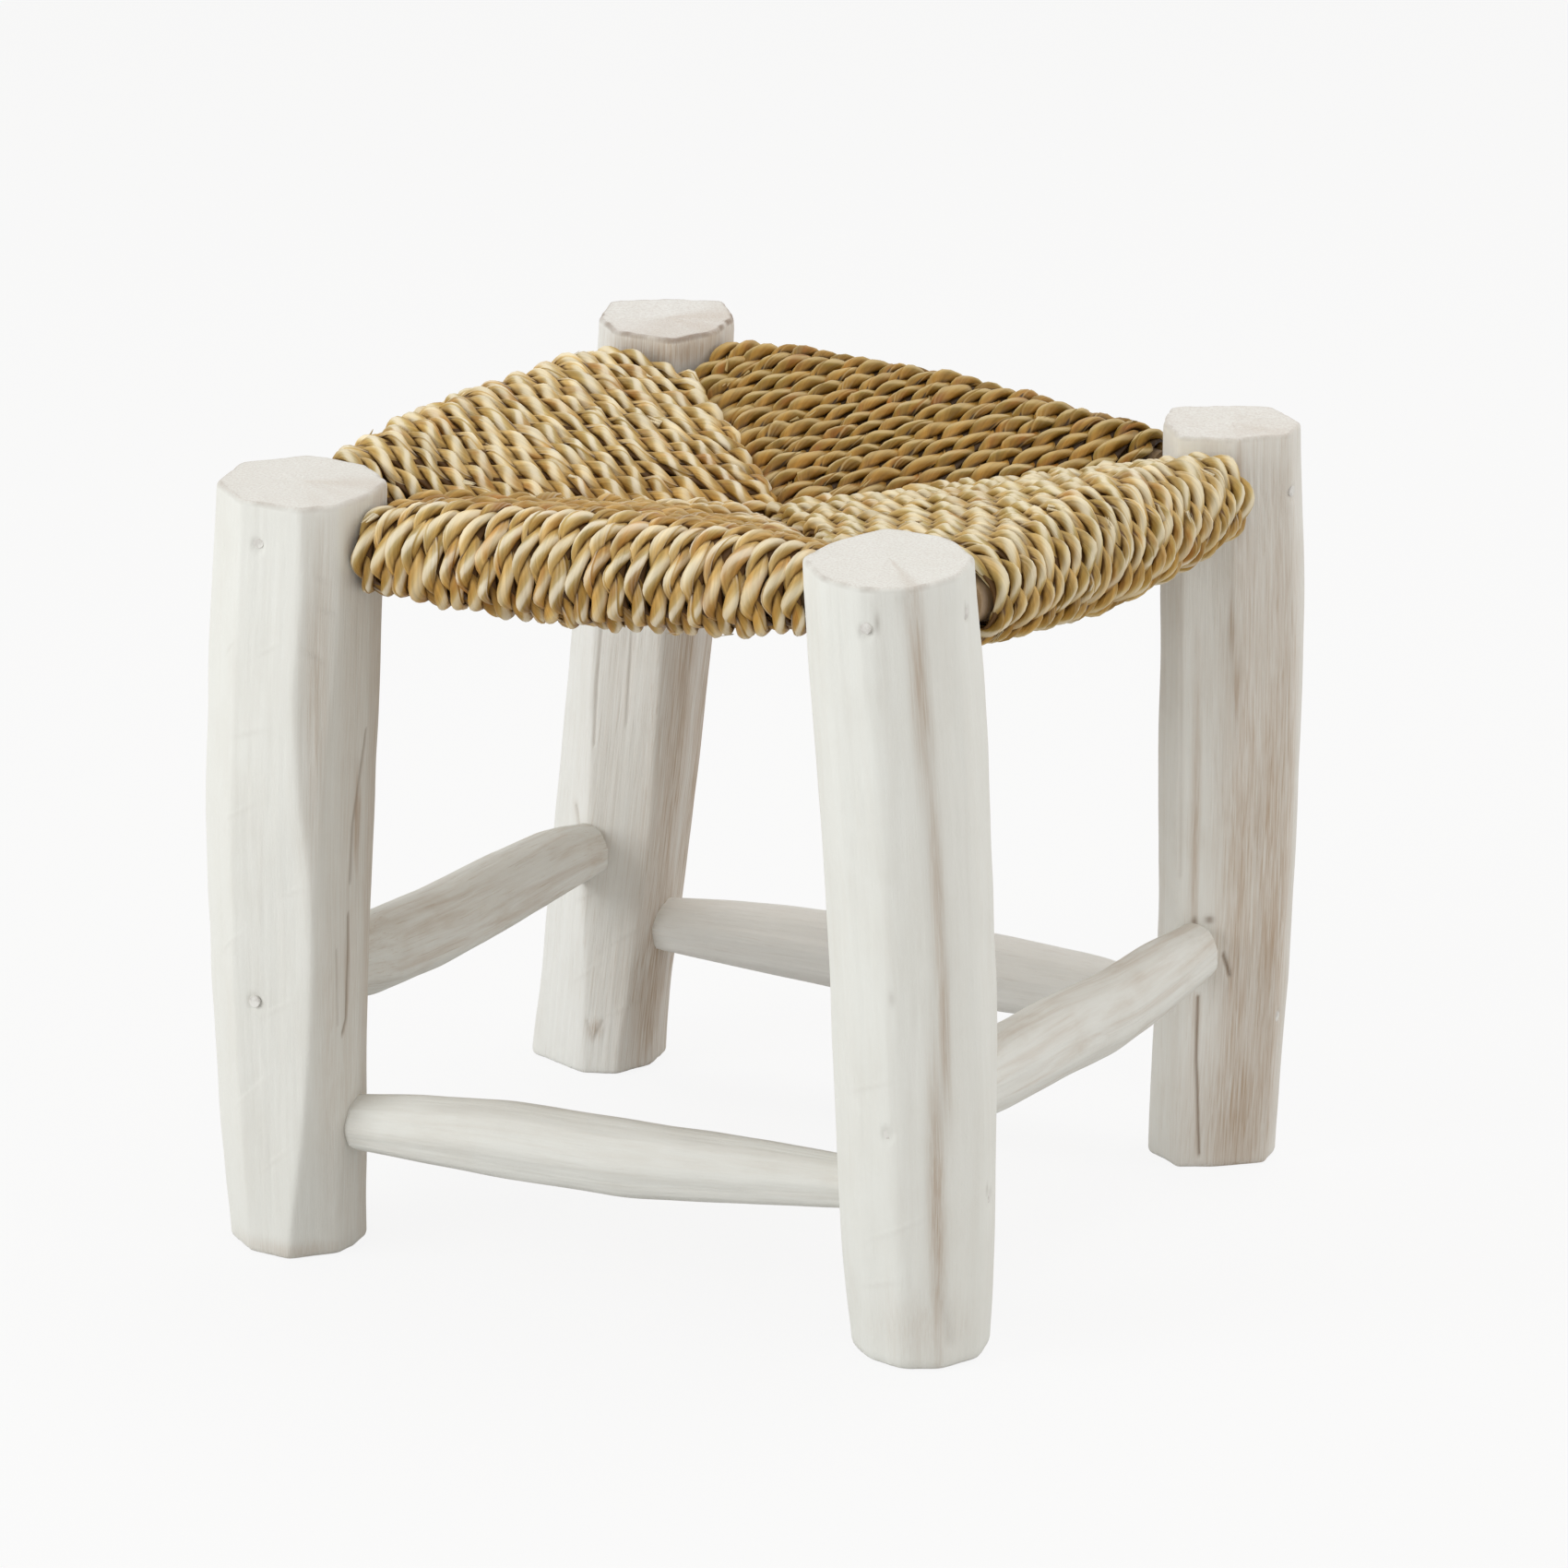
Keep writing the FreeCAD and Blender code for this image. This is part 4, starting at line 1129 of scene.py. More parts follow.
@dataclass(frozen=True)
class TwistedCord:
    """Cord of two strands of palm leaf, twisted like the middle stroke of a Z.

    Lengths are in millimetres; shares and ranges are of a strand's own size.
    """

    diameter: float = 7.9
    gap: float = 0.2
    clearance: float = 0.6
    offset: float = 2.3
    strand_depth: float = 2.6
    strand_width: float = 2.5
    squash: float = 0.84
    step: float = 2.4
    leaf_turns: float = 1.5
    leaf_lag: float = 60.0
    lip: float = 0.20
    pleat: float = 0.10
    fold: float = 0.09
    taper: float = 0.10
    bulge: float = 0.17
    rough: float = 0.09
    swell: float = 0.16
    thickness_range: tuple[float, float] = (0.88, 1.14)
    leaf_turn_range: tuple[float, float] = (0.85, 1.15)
    pitch_range: tuple[float, float] = (0.9, 1.12)
    leaf_radius: float = 3.2
    edge_shade: float = 0.3
    run_shade: float = 0.22
    natural_room: float = 8.7
    shade_core_depth: float = 1.3
    shade_core_drop: float = 1.2
    wander: float = 0.6
    wander_length: float = 31.0
    bob_length: float = 43.0
    pleat_length: float = 14.0
    leaf_length: float = 19.0
    rough_length: float = 10.0
    swell_length: float = 15.0
    twist_length: float = 26.0
    shade_top: float = 10.0
    shade_fall: float = 22.0
    dense_step: float = 0.7
    round_reach: int = 4

    def line(self, hole: float, top: float, bottom: float, bar: tuple[float, float, float],
             layer: Layer) -> Array:
        """Middle line of one course in its upright plane: out from the mitre, and up.

        It rises at the mitre, runs straight to the circle round the rail, follows that circle
        round the outside, runs straight back below and turns up again at the mitre.

        Args:
            hole: Distance from the mitre at which the straight run starts.
            top: Height of the upper run.
            bottom: Height of the lower run.
            bar: Distance and height of the rail's axis, and radius of the circle round it.
            layer: Whether the course lies over or under the ones that it meets.

        Returns:
            Points one ring step apart, (count, 2).
        """
        far, level, wrap = bar

        def touch(height: float, sense: float) -> float:
            across, rise = hole - far, height - level
            return math.atan2(rise, across) - sense * math.acos(wrap / math.hypot(across, rise))

        upper = touch(top, 1.0) % TURN
        lower = -(-touch(bottom, -1.0) % TURN)
        bend = np.linspace(upper, lower, 40)
        arc = np.stack([far + wrap * np.cos(bend), level + wrap * np.sin(bend)], axis=-1)
        rise = [(out, top + lift) for out, lift in RISES[layer]]
        fall = [(out, bottom + top - high) for out, high in reversed(rise)]
        points = np.concatenate([rise, arc, fall])
        lengths = walked(points)
        line = points_at(points, lengths, np.arange(0.0, lengths[-1], self.dense_step))
        reach = self.round_reach
        padded = np.pad(line, ((reach, reach), (0, 0)), mode="edge")
        line = np.mean([padded[shift:shift + len(line)] for shift in range(2 * reach + 1)], axis=0)
        lengths = walked(line)
        places = np.linspace(0.0, lengths[-1], int(lengths[-1] / self.step))
        return points_at(line, lengths, places)

    def painted_shade(self, points: Array, level: float, shade: Array) -> Array:
        """Share from 0 to 1 of painted shade on a strand.

        It grows from 0 at shade_top above the rail's axis to 1 at shade_fall below that
        height, and is nowhere less than shade.

        Args:
            points: Points of a strand, (count, columns, 3).
            level: Height of the rail's axis.
            shade: Least share at each step along the course, (count,).

        Returns:
            Shares, (count, columns).
        """
        below = smooth((level + self.shade_top - points[..., 2]) / self.shade_fall)
        return np.maximum(below, shade[:, None])

    def strand(self, surface: Surface, middle: Array, frame: tuple[Array, Array], turn: Array,
               size: Array, lateral: float, tone: tuple[float, Array],
               rng: np.random.Generator) -> None:
        """Lay one strand, a leaf rolled on itself, round the cord's middle line.

        The strand's middle lies at offset * out, with out = cos(q) * e1 + sin(q) * e2. Columns
        of its surface follow the leaf, which turns back round the strand leaf_turns times for
        each turn of q. At leaf angle v the radius is 1 + lip * (0.5 - v / 2 pi) + pleat *
        teeth(v) + fold * cos(3 * v + chance) + rough * noise, so that the leaf overlaps itself
        by one step, its edge. That is times strand_depth along out and strand_width across,
        and times size * (1 + swell * noise) * (1 + taper * sin(q) - bulge * cos(q)).

        Point values: fibre is the place in the leaf; depth goes from 0 next to the other
        strand to 1 outside and is lowered under the leaf's edge and on shaded runs, and the
        material paints shade where it is low; leaf_edge marks the edge and the pleats; and
        turned is the share of painted shade.

        Args:
            surface: Surface that takes the strand.
            middle: Middle line of the cord, (count, 3).
            frame: Unit vectors e1 and e2 along it.
            turn: Angle q along it.
            size: Thickness share along it, which closes both ends.
            lateral: Share by which the cord is spread to fill the room between its neighbours.
            tone: Height of the rail's axis, and the share of painted shade along the course.
            rng: Random numbers for the small differences between strands.
        """
        e1, e2 = frame
        along = np.arange(len(middle)) * self.step
        q = turn[:, None]
        out, round_way = np.cos(q) * e1 + np.sin(q) * e2, -np.sin(q) * e1 + np.cos(q) * e2

        def noise(length: float, cells: int = 3, place: Array | None = None) -> Array:
            turns = np.zeros_like(along) if place is None else place
            rows = along if place is None else along[:, None]
            return lattice_noise(turns, rows, cells, length, draw_seed(rng))

        leaf = np.array(LEAF_COLUMNS)[None]
        teeth = np.array(LEAF_TEETH)[None]
        pleated = np.clip(0.35 + 1.1 * noise(self.pleat_length), 0.0, 1.0)[:, None]
        leaf_turns = self.leaf_turns * rng.uniform(*self.leaf_turn_range)
        own = (-leaf_turns * (q + math.radians(self.leaf_lag))
               + 0.7 * noise(self.leaf_length)[:, None])
        ring = leaf + own
        form = (1 + self.lip * (0.5 - leaf / TURN) + self.pleat * pleated * teeth
                + self.fold * np.cos(3 * leaf + rng.uniform(0, 6.0))
                + self.rough * noise(self.rough_length, 6, ring / TURN))
        fat = (size * rng.uniform(*self.thickness_range)
               * (1 + self.swell * noise(self.swell_length))
               * (1 + self.taper * np.sin(turn) - self.bulge * np.cos(turn)))[:, None]
        deep = self.strand_depth * fat * np.cos(ring) * form
        wide = self.strand_width * fat * np.sin(ring) * form
        offset = self.offset * (0.4 + 0.6 * size)[:, None, None]
        local = (offset + deep[..., None]) * out[:, None] + wide[..., None] * round_way[:, None]
        rise = (local * e1[:, None]).sum(-1, keepdims=True)
        aside = (local * e2[:, None]).sum(-1, keepdims=True)
        local = local - (1 - self.squash) * rise * e1[:, None] + (lateral - 1) * aside * e2[:, None]
        number = rng.uniform(0, 900.0)
        fill = np.zeros_like(ring)
        points = middle[:, None] + local
        surface.add_tube(points, {
            "fibre": np.stack([self.leaf_radius * np.cos(leaf) + number + fill,
                               self.leaf_radius * np.sin(leaf) + 0.37 * number + fill,
                               along[:, None] + 0.71 * number + fill], axis=-1),
            # depth is lowered under the leaf's edge and on shaded runs, where the material paints
            # shade.
            "depth": (0.5 + 0.5 * np.cos(ring)
                      - self.edge_shade * (leaf > LEAF_COLUMNS[-2]) * (fill + 1)
                      - self.run_shade * tone[1][:, None]),
            "leaf_edge": np.maximum((leaf == 0.0) * (0.2 + pleated), 0.7 * pleated * teeth),
            "painted_shade": self.painted_shade(points, *tone),
        })

    def shade_core(self, surface: Surface, middle: Array, frame: tuple[Array, Array],
             half: float) -> None:
        """Lay a dark flat tube that fills the room beside the strands: a sheet of painted shade.

        Args:
            surface: Surface that takes it.
            middle: Middle line of the cord, (count, 3).
            frame: Unit vectors e1 and e2 along it.
            half: Half its width.
        """
        pick = slice(1, -1, 2)
        e1, e2 = frame[0][pick, None], frame[1][pick, None]
        ring = (np.arange(6) / 6 * TURN)[None, :, None]
        points = (middle[pick, None] + (self.shade_core_depth * np.cos(ring) + self.shade_core_drop) * e1
                  + half * np.sin(ring) * e2)
        fill = np.zeros(points.shape[:2])
        surface.add_tube(points, {"fibre": points, "depth": fill, "leaf_edge": fill,
                                  "painted_shade": fill})

    def tips(self, surface: Surface, middle: Array, frame: tuple[Array, Array],
             rng: np.random.Generator) -> None:
        """Let leaf tips stand off the cord in small bundles: thin blades that rise and narrow.

        At share t of its length a blade stands t * length on along the cord, swung a little
        sideways, lift * t * t off its surface, and is half as wide as (1 - t) ** 0.6 says.

        Args:
            surface: Surface that takes them.
            middle: Middle line of the cord, (count, 3).
            frame: Unit vectors e1 and e2 along it; e1 points to the rail's side.
            rng: Random numbers for their places and sizes.
        """
        e1, e2 = frame
        share = np.array([0.0, 0.3, 0.55, 0.8, 0.97])[:, None, None]
        ring = (np.arange(4) / 4 * TURN)[None, :, None]
        for _ in range(int(rng.integers(0, 3))):
            index = int(rng.integers(6, len(middle) - 6))
            angle, lean = math.pi + rng.uniform(-1.2, 1.2), rng.uniform(-0.5, 0.3)
            sense = rng.choice((-1.0, 1.0))
            for blade_number in range(int(rng.integers(1, 3))):
                bend = angle + 0.4 * blade_number
                out = math.cos(bend) * e1[index] + math.sin(bend) * e2[index]
                across = -math.sin(bend) * e1[index] + math.cos(bend) * e2[index]
                run = np.cross(e1[index], e2[index]) * math.cos(lean) + across * math.sin(lean)
                length, lift = rng.uniform(5, 9), rng.uniform(0.1, 0.6)
                width = rng.uniform(0.7, 1.2)
                foot = middle[index] + out * (4.6 - 0.9 * abs(math.cos(bend)))
                line = foot + sense * share * length * run + share ** 2 * lift * out
                blade = (line + width * (1 - share) ** 0.6 * np.cos(ring) * across
                         + 0.3 * (1 - 0.7 * share) * sense * np.sin(ring) * -out)
                fill = np.zeros(blade.shape[:2])
                surface.add_tube(blade, {"fibre": blade, "depth": fill + 0.9,
                                         "leaf_edge": fill + 0.25, "painted_shade": fill})

    def twist(self, surface: Surface, middle: Array, side: Array, pitch: float, room: float,
              tone: tuple[float, Array], rng: np.random.Generator) -> None:
        """Lay both strands of one course, its painted-shade filler and a few leaf tips along it.

        With T the line's way, e2 is its level side and e1 = e2 x T. Angle q grows by one turn
        each pitch and is half a turn apart for the two strands.

        Args:
            surface: Surface that takes the strands.
            middle: Middle line, (count, 3).
            side: Level unit vector square to the course.
            pitch: Length of one turn of the strands.
            room: Distance from this course to the next.
            tone: Height of the rail's axis, and the share of painted shade along the course.
            rng: Random numbers for the small differences between courses.
        """
        way = np.gradient(middle, axis=0)
        way /= np.linalg.norm(way, axis=1, keepdims=True)
        along = np.arange(len(middle)) * self.step
        e1 = np.cross(side, way)
        e2 = np.cross(way, e1)
        wave = line_noise(len(middle), self.step, self.twist_length, rng)
        turn = TURN * along / (pitch * rng.uniform(*self.pitch_range)) + rng.uniform(0, TURN)
        turn = turn + 0.6 * wave
        size = smooth(np.minimum(along, along[-1] - along) / 3.0 + 0.25)
        for half_turn in (0.0, math.pi):
            self.strand(surface, middle, (e1, e2), turn + half_turn, size,
                        room / self.natural_room, tone, rng)
        # Dark filler beside the strands: painted shade in the gaps.
        self.shade_core(surface, middle, (e1, e2), room * 0.5)
        self.tips(surface, middle, (e1, e2), rng)


@dataclass
class Panel:
    """Triangular seat panel: courses of cord side by side round one rail.

    layers say how its courses lie at the mitres of the rail's start and end. pitch is the
    length of one turn of its strands. run_shade_share is the share of painted shade on its upper
    runs.
    """

    node: str
    rail: Rail
    layers: tuple[Layer, Layer]
    finish: PalmLeaf
    seed: int
    pitch: float = 31.0
    run_shade_share: float = 0.0


@dataclass
class Seat:
    """The corded seat: four panels that meet at mitres.

    Its middle lies dip below the legs' full height. Runs lie layer_rise above and below their
    level, and the painted shade on the upper runs fades out over shade_fade before the rail.
    """

    panels: Sequence[Panel]
    legs: Sequence[Leg]
    cord: TwistedCord
    dip: float = 37.5
    layer_rise: float = 9.0
    shade_fade: float = 7.0
    laps: int = 12

    def corner(self, leg: Leg) -> Array:
        """Corner of the open seat beside a leg, clear of it at the top and at the fifth section."""
        place = []
        for axis in (0, 1):
            way = np.zeros(2)
            way[axis] = -leg.side[axis]
            edges = [abs(leg.centre(level)[axis]) - leg.reach(level, way) - self.cord.gap
                     for level in (leg.full_height, leg.full_height * SECTION_HEIGHTS[-2])]
            place.append(leg.side[axis] * min(edges))
        return np.array([*place, 0.0])

    def corner_level(self, leg: Leg) -> float:
        """Mean height of the two rails at a leg."""
        levels = [level for panel in self.panels
                  for end, level in zip((panel.rail.start, panel.rail.end), panel.rail.levels)
                  if end is leg]
        return sum(levels) / len(levels)

    def surface(self, panel: Panel) -> Surface:
        """All courses of one panel.

        A course at lap share s stands at the mitre point corner + (middle - corner) * s, and
        its level goes from the rails' mean height at the corner to the middle of the seat.
        """
        rail, cord = panel.rail, self.cord
        rng = np.random.default_rng(panel.seed)
        middle = np.mean([self.corner(leg) for leg in self.legs], axis=0)
        start, _ = rail.ends()
        axis = rail.axis()
        main = 0 if abs(axis[0]) > abs(axis[1]) else 1
        corners = [self.corner(rail.start), self.corner(rail.end)]
        surface = Surface()
        for corner, leg, layer in zip(corners, (rail.start, rail.end), panel.layers):
            half = (corners[0][main] + corners[1][main]) / 2 - corner[main]
            for lap in range(self.laps):
                share = (lap + 0.5) / self.laps
                mitre = corner + (middle - corner) * share
                station = corner[main] + half * share
                distance = (station - start[main]) / axis[main]
                bar_place = start + axis * distance
                bar = max(rail.bar_radius(distance + reach)
                          for reach in (-cord.diameter / 2, cord.diameter / 2))
                run = bar_place[:2] - mitre[:2]
                run_length = np.linalg.norm(run)
                out = np.array([*(run / run_length), 0.0])
                side = np.cross(UP, out)
                base = self.corner_level(leg)
                level = base + (leg.full_height - self.dip - base) * share
                line = cord.line(
                    cord.diameter / 2 + cord.gap, level + self.layer_rise, level - self.layer_rise,
                    (float(run_length), float(bar_place[2]),
                     bar + cord.clearance + cord.diameter / 2), layer)
                wander = line_noise(len(line), cord.step, cord.wander_length, rng)
                bob = line_noise(len(line), cord.step, cord.bob_length, rng)
                points = (np.array([*mitre[:2], 0.0]) + line[:, :1] * out
                          + (cord.wander * wander)[:, None] * side)
                points[:, 2] = line[:, 1] + cord.wander * bob
                # Painted shade on the panel's upper runs, fading out before the rail.
                shade = (panel.run_shade_share * (line[:, 1] > bar_place[2])
                         * smooth((run_length + 1.0 - line[:, 0]) / self.shade_fade))
                cord.twist(surface, points, side, panel.pitch, abs(half) / self.laps,
                           (float(bar_place[2]), shade), rng)
        return surface

    def make(self, group: bpy.types.NodeTree) -> None:
        """Build and dress each panel and let it stand for its CAD node."""
        for panel in self.panels:
            item = self.surface(panel).make(panel.node.replace("seat_cord", "palm_panel"))
            stand_in(item, panel.finish.make(group), panel.node)


# ---------------------------------------------------------------------------------------
# Studio
# ---------------------------------------------------------------------------------------


@dataclass(frozen=True)
class Lamp:
    """Soft lamp: its direction from the stool, distance and size in metres, and strength."""

    name: str
    way: tuple[float, float, float]
    distance: float
    size: float
    power: float
    colour: Colour = (1.0, 1.0, 1.0)

    def make(self, target: Vector) -> None:
        """Put the lamp up, facing the stool."""
        data = bpy.data.lights.new(self.name, "AREA")
        data.shape = "DISK"
        data.size = self.size
        data.energy = self.power
        data.color = self.colour
        lamp = bpy.data.objects.new(self.name, data)
        way = Vector(self.way).normalized()
        lamp.location = target + way * self.distance
        lamp.rotation_euler = way.to_track_quat("Z", "Y").to_euler()
        bpy.context.scene.collection.objects.link(lamp)


@dataclass
class Studio:
    """Camera at the photograph's angle, pale floor, white backdrop and soft lamps."""

    lamps: Sequence[Lamp]
    azimuth: float = 29.45
    elevation: float = 17.0
    distance: float = 3504.0
    target: tuple[float, float, float] = (3.9, -2.1, 165.0)
    aim_right: float = 8.57
    aim_up: float = 16.16
    focal_pixels: float = 9000.0
    frame_pixels: float = 1700.0
    sensor: float = 36.0
    ambient: Colour = (1.0, 0.975, 0.94)
    ambient_strength: float = 0.58
    floor_half: float = 6.0
    floor_level: float = -0.0003
    floor_tone: Colour = (0.66, 0.655, 0.645)
    floor_white: float = 0.88

    def axes(self) -> tuple[Vector, Vector, Vector]:
        """Unit vectors towards the camera, to its right and up."""
        a, e = math.radians(self.azimuth), math.radians(self.elevation)
        back = Vector((math.sin(a) * math.cos(e), -math.cos(a) * math.cos(e), math.sin(e)))
        right = Vector((math.cos(a), math.sin(a), 0.0))
        return back, right, back.cross(right)

    def make_camera(self) -> None:
        """Put up the camera; its aim is off the target by the frame's own offset."""
        back, right, up = self.axes()
        target = Vector(self.target)
        place = target + back * self.distance
        aim = target + right * self.aim_right + up * self.aim_up
        data = bpy.data.cameras.new("camera")
        data.sensor_width = self.sensor
        data.lens = self.sensor * self.focal_pixels / self.frame_pixels
        data.clip_start, data.clip_end = 0.05, 60.0
        camera = bpy.data.objects.new("camera", data)
        camera.location = place * MM
        camera.rotation_euler = (place - aim).to_track_quat("Z", "Y").to_euler()
        bpy.context.scene.collection.objects.link(camera)
        bpy.context.scene.camera = camera

    def seen_directly(self, tree: Tree) -> Socket:
        """1 for camera, glossy and transmission rays, and 0 for the light on surfaces."""
        path = tree.node("ShaderNodeLightPath")
        seen = tree.math("MAXIMUM", path.outputs["Is Camera Ray"], path.outputs["Is Glossy Ray"])
        return tree.math("MAXIMUM", seen, path.outputs["Is Transmission Ray"])

    def whitened(self, tree: Tree, share: Socket, plain: bpy.types.Node, kind: str) -> Socket:
        """Plain shader blended by a share with white of strength 1 from a node of a kind."""
        white = tree.node(kind)
        tree.feed(white.inputs["Color"], WHITE)
        tree.feed(white.inputs["Strength"], 1.0)
        blend = tree.node("ShaderNodeMixShader")
        for index, source in enumerate((share, plain.outputs[0], white.outputs[0])):
            tree.feed(blend.inputs[index], source)
        return blend.outputs[0]

    def make_world(self) -> None:
        """White where it is seen, and a soft warm white where it lights the stool."""
        world = bpy.data.worlds.new("soft_white")
        world.use_nodes = True
        tree = Tree(world.node_tree)
        world.node_tree.nodes.clear()
        light = tree.node("ShaderNodeBackground")
        tree.feed(light.inputs["Color"], self.ambient)
        tree.feed(light.inputs["Strength"], self.ambient_strength)
        seen = self.whitened(tree, self.seen_directly(tree), light, "ShaderNodeBackground")
        tree.feed(tree.node("ShaderNodeOutputWorld").inputs["Surface"], seen)
        bpy.context.scene.world = world

    def make_floor(self) -> None:
        """Pale floor: mostly white where it is seen, and it keeps the stool's shadow."""
        half, level = self.floor_half, self.floor_level
        mesh = bpy.data.meshes.new("floor")
        mesh.from_pydata([(-half, -half, level), (half, -half, level), (half, half, level),
                          (-half, half, level)], [], [(0, 1, 2, 3)])
        floor = bpy.data.objects.new("floor", mesh)
        bpy.context.scene.collection.objects.link(floor)
        material = bpy.data.materials.new("pale_floor")
        material.use_nodes = True
        tree = Tree(material.node_tree)
        material.node_tree.nodes.clear()
        matt = tree.node("ShaderNodeBsdfDiffuse")
        tree.feed(matt.inputs["Color"], self.floor_tone)
        share = tree.times(self.seen_directly(tree), self.floor_white)
        seen = self.whitened(tree, share, matt, "ShaderNodeEmission")
        tree.feed(tree.node("ShaderNodeOutputMaterial").inputs["Surface"], seen)
        mesh.materials.append(material)

    def make(self) -> None:
        """Set the view transform and build the camera, world, floor and lamps."""
        bpy.context.scene.view_settings.view_transform = "Standard"
        self.make_camera()
        self.make_world()
        self.make_floor()
        for lamp in self.lamps:
            lamp.make(Vector(self.target) * MM)


# ---------------------------------------------------------------------------------------
# The stool
# ---------------------------------------------------------------------------------------

# Outlines of the stretchers, as angles and radius shares.
ROUND_STICK = ((10, 0.94), (55, 0.98), (90, 1.00), (130, 0.97), (175, 0.95), (225, 0.98),
               (270, 1.00), (318, 0.97))
FLAT_STICK = ((20, 0.80), (62, 0.98), (92, 1.00), (122, 0.97), (160, 0.80), (205, 0.82),
              (262, 1.00), (335, 0.84))


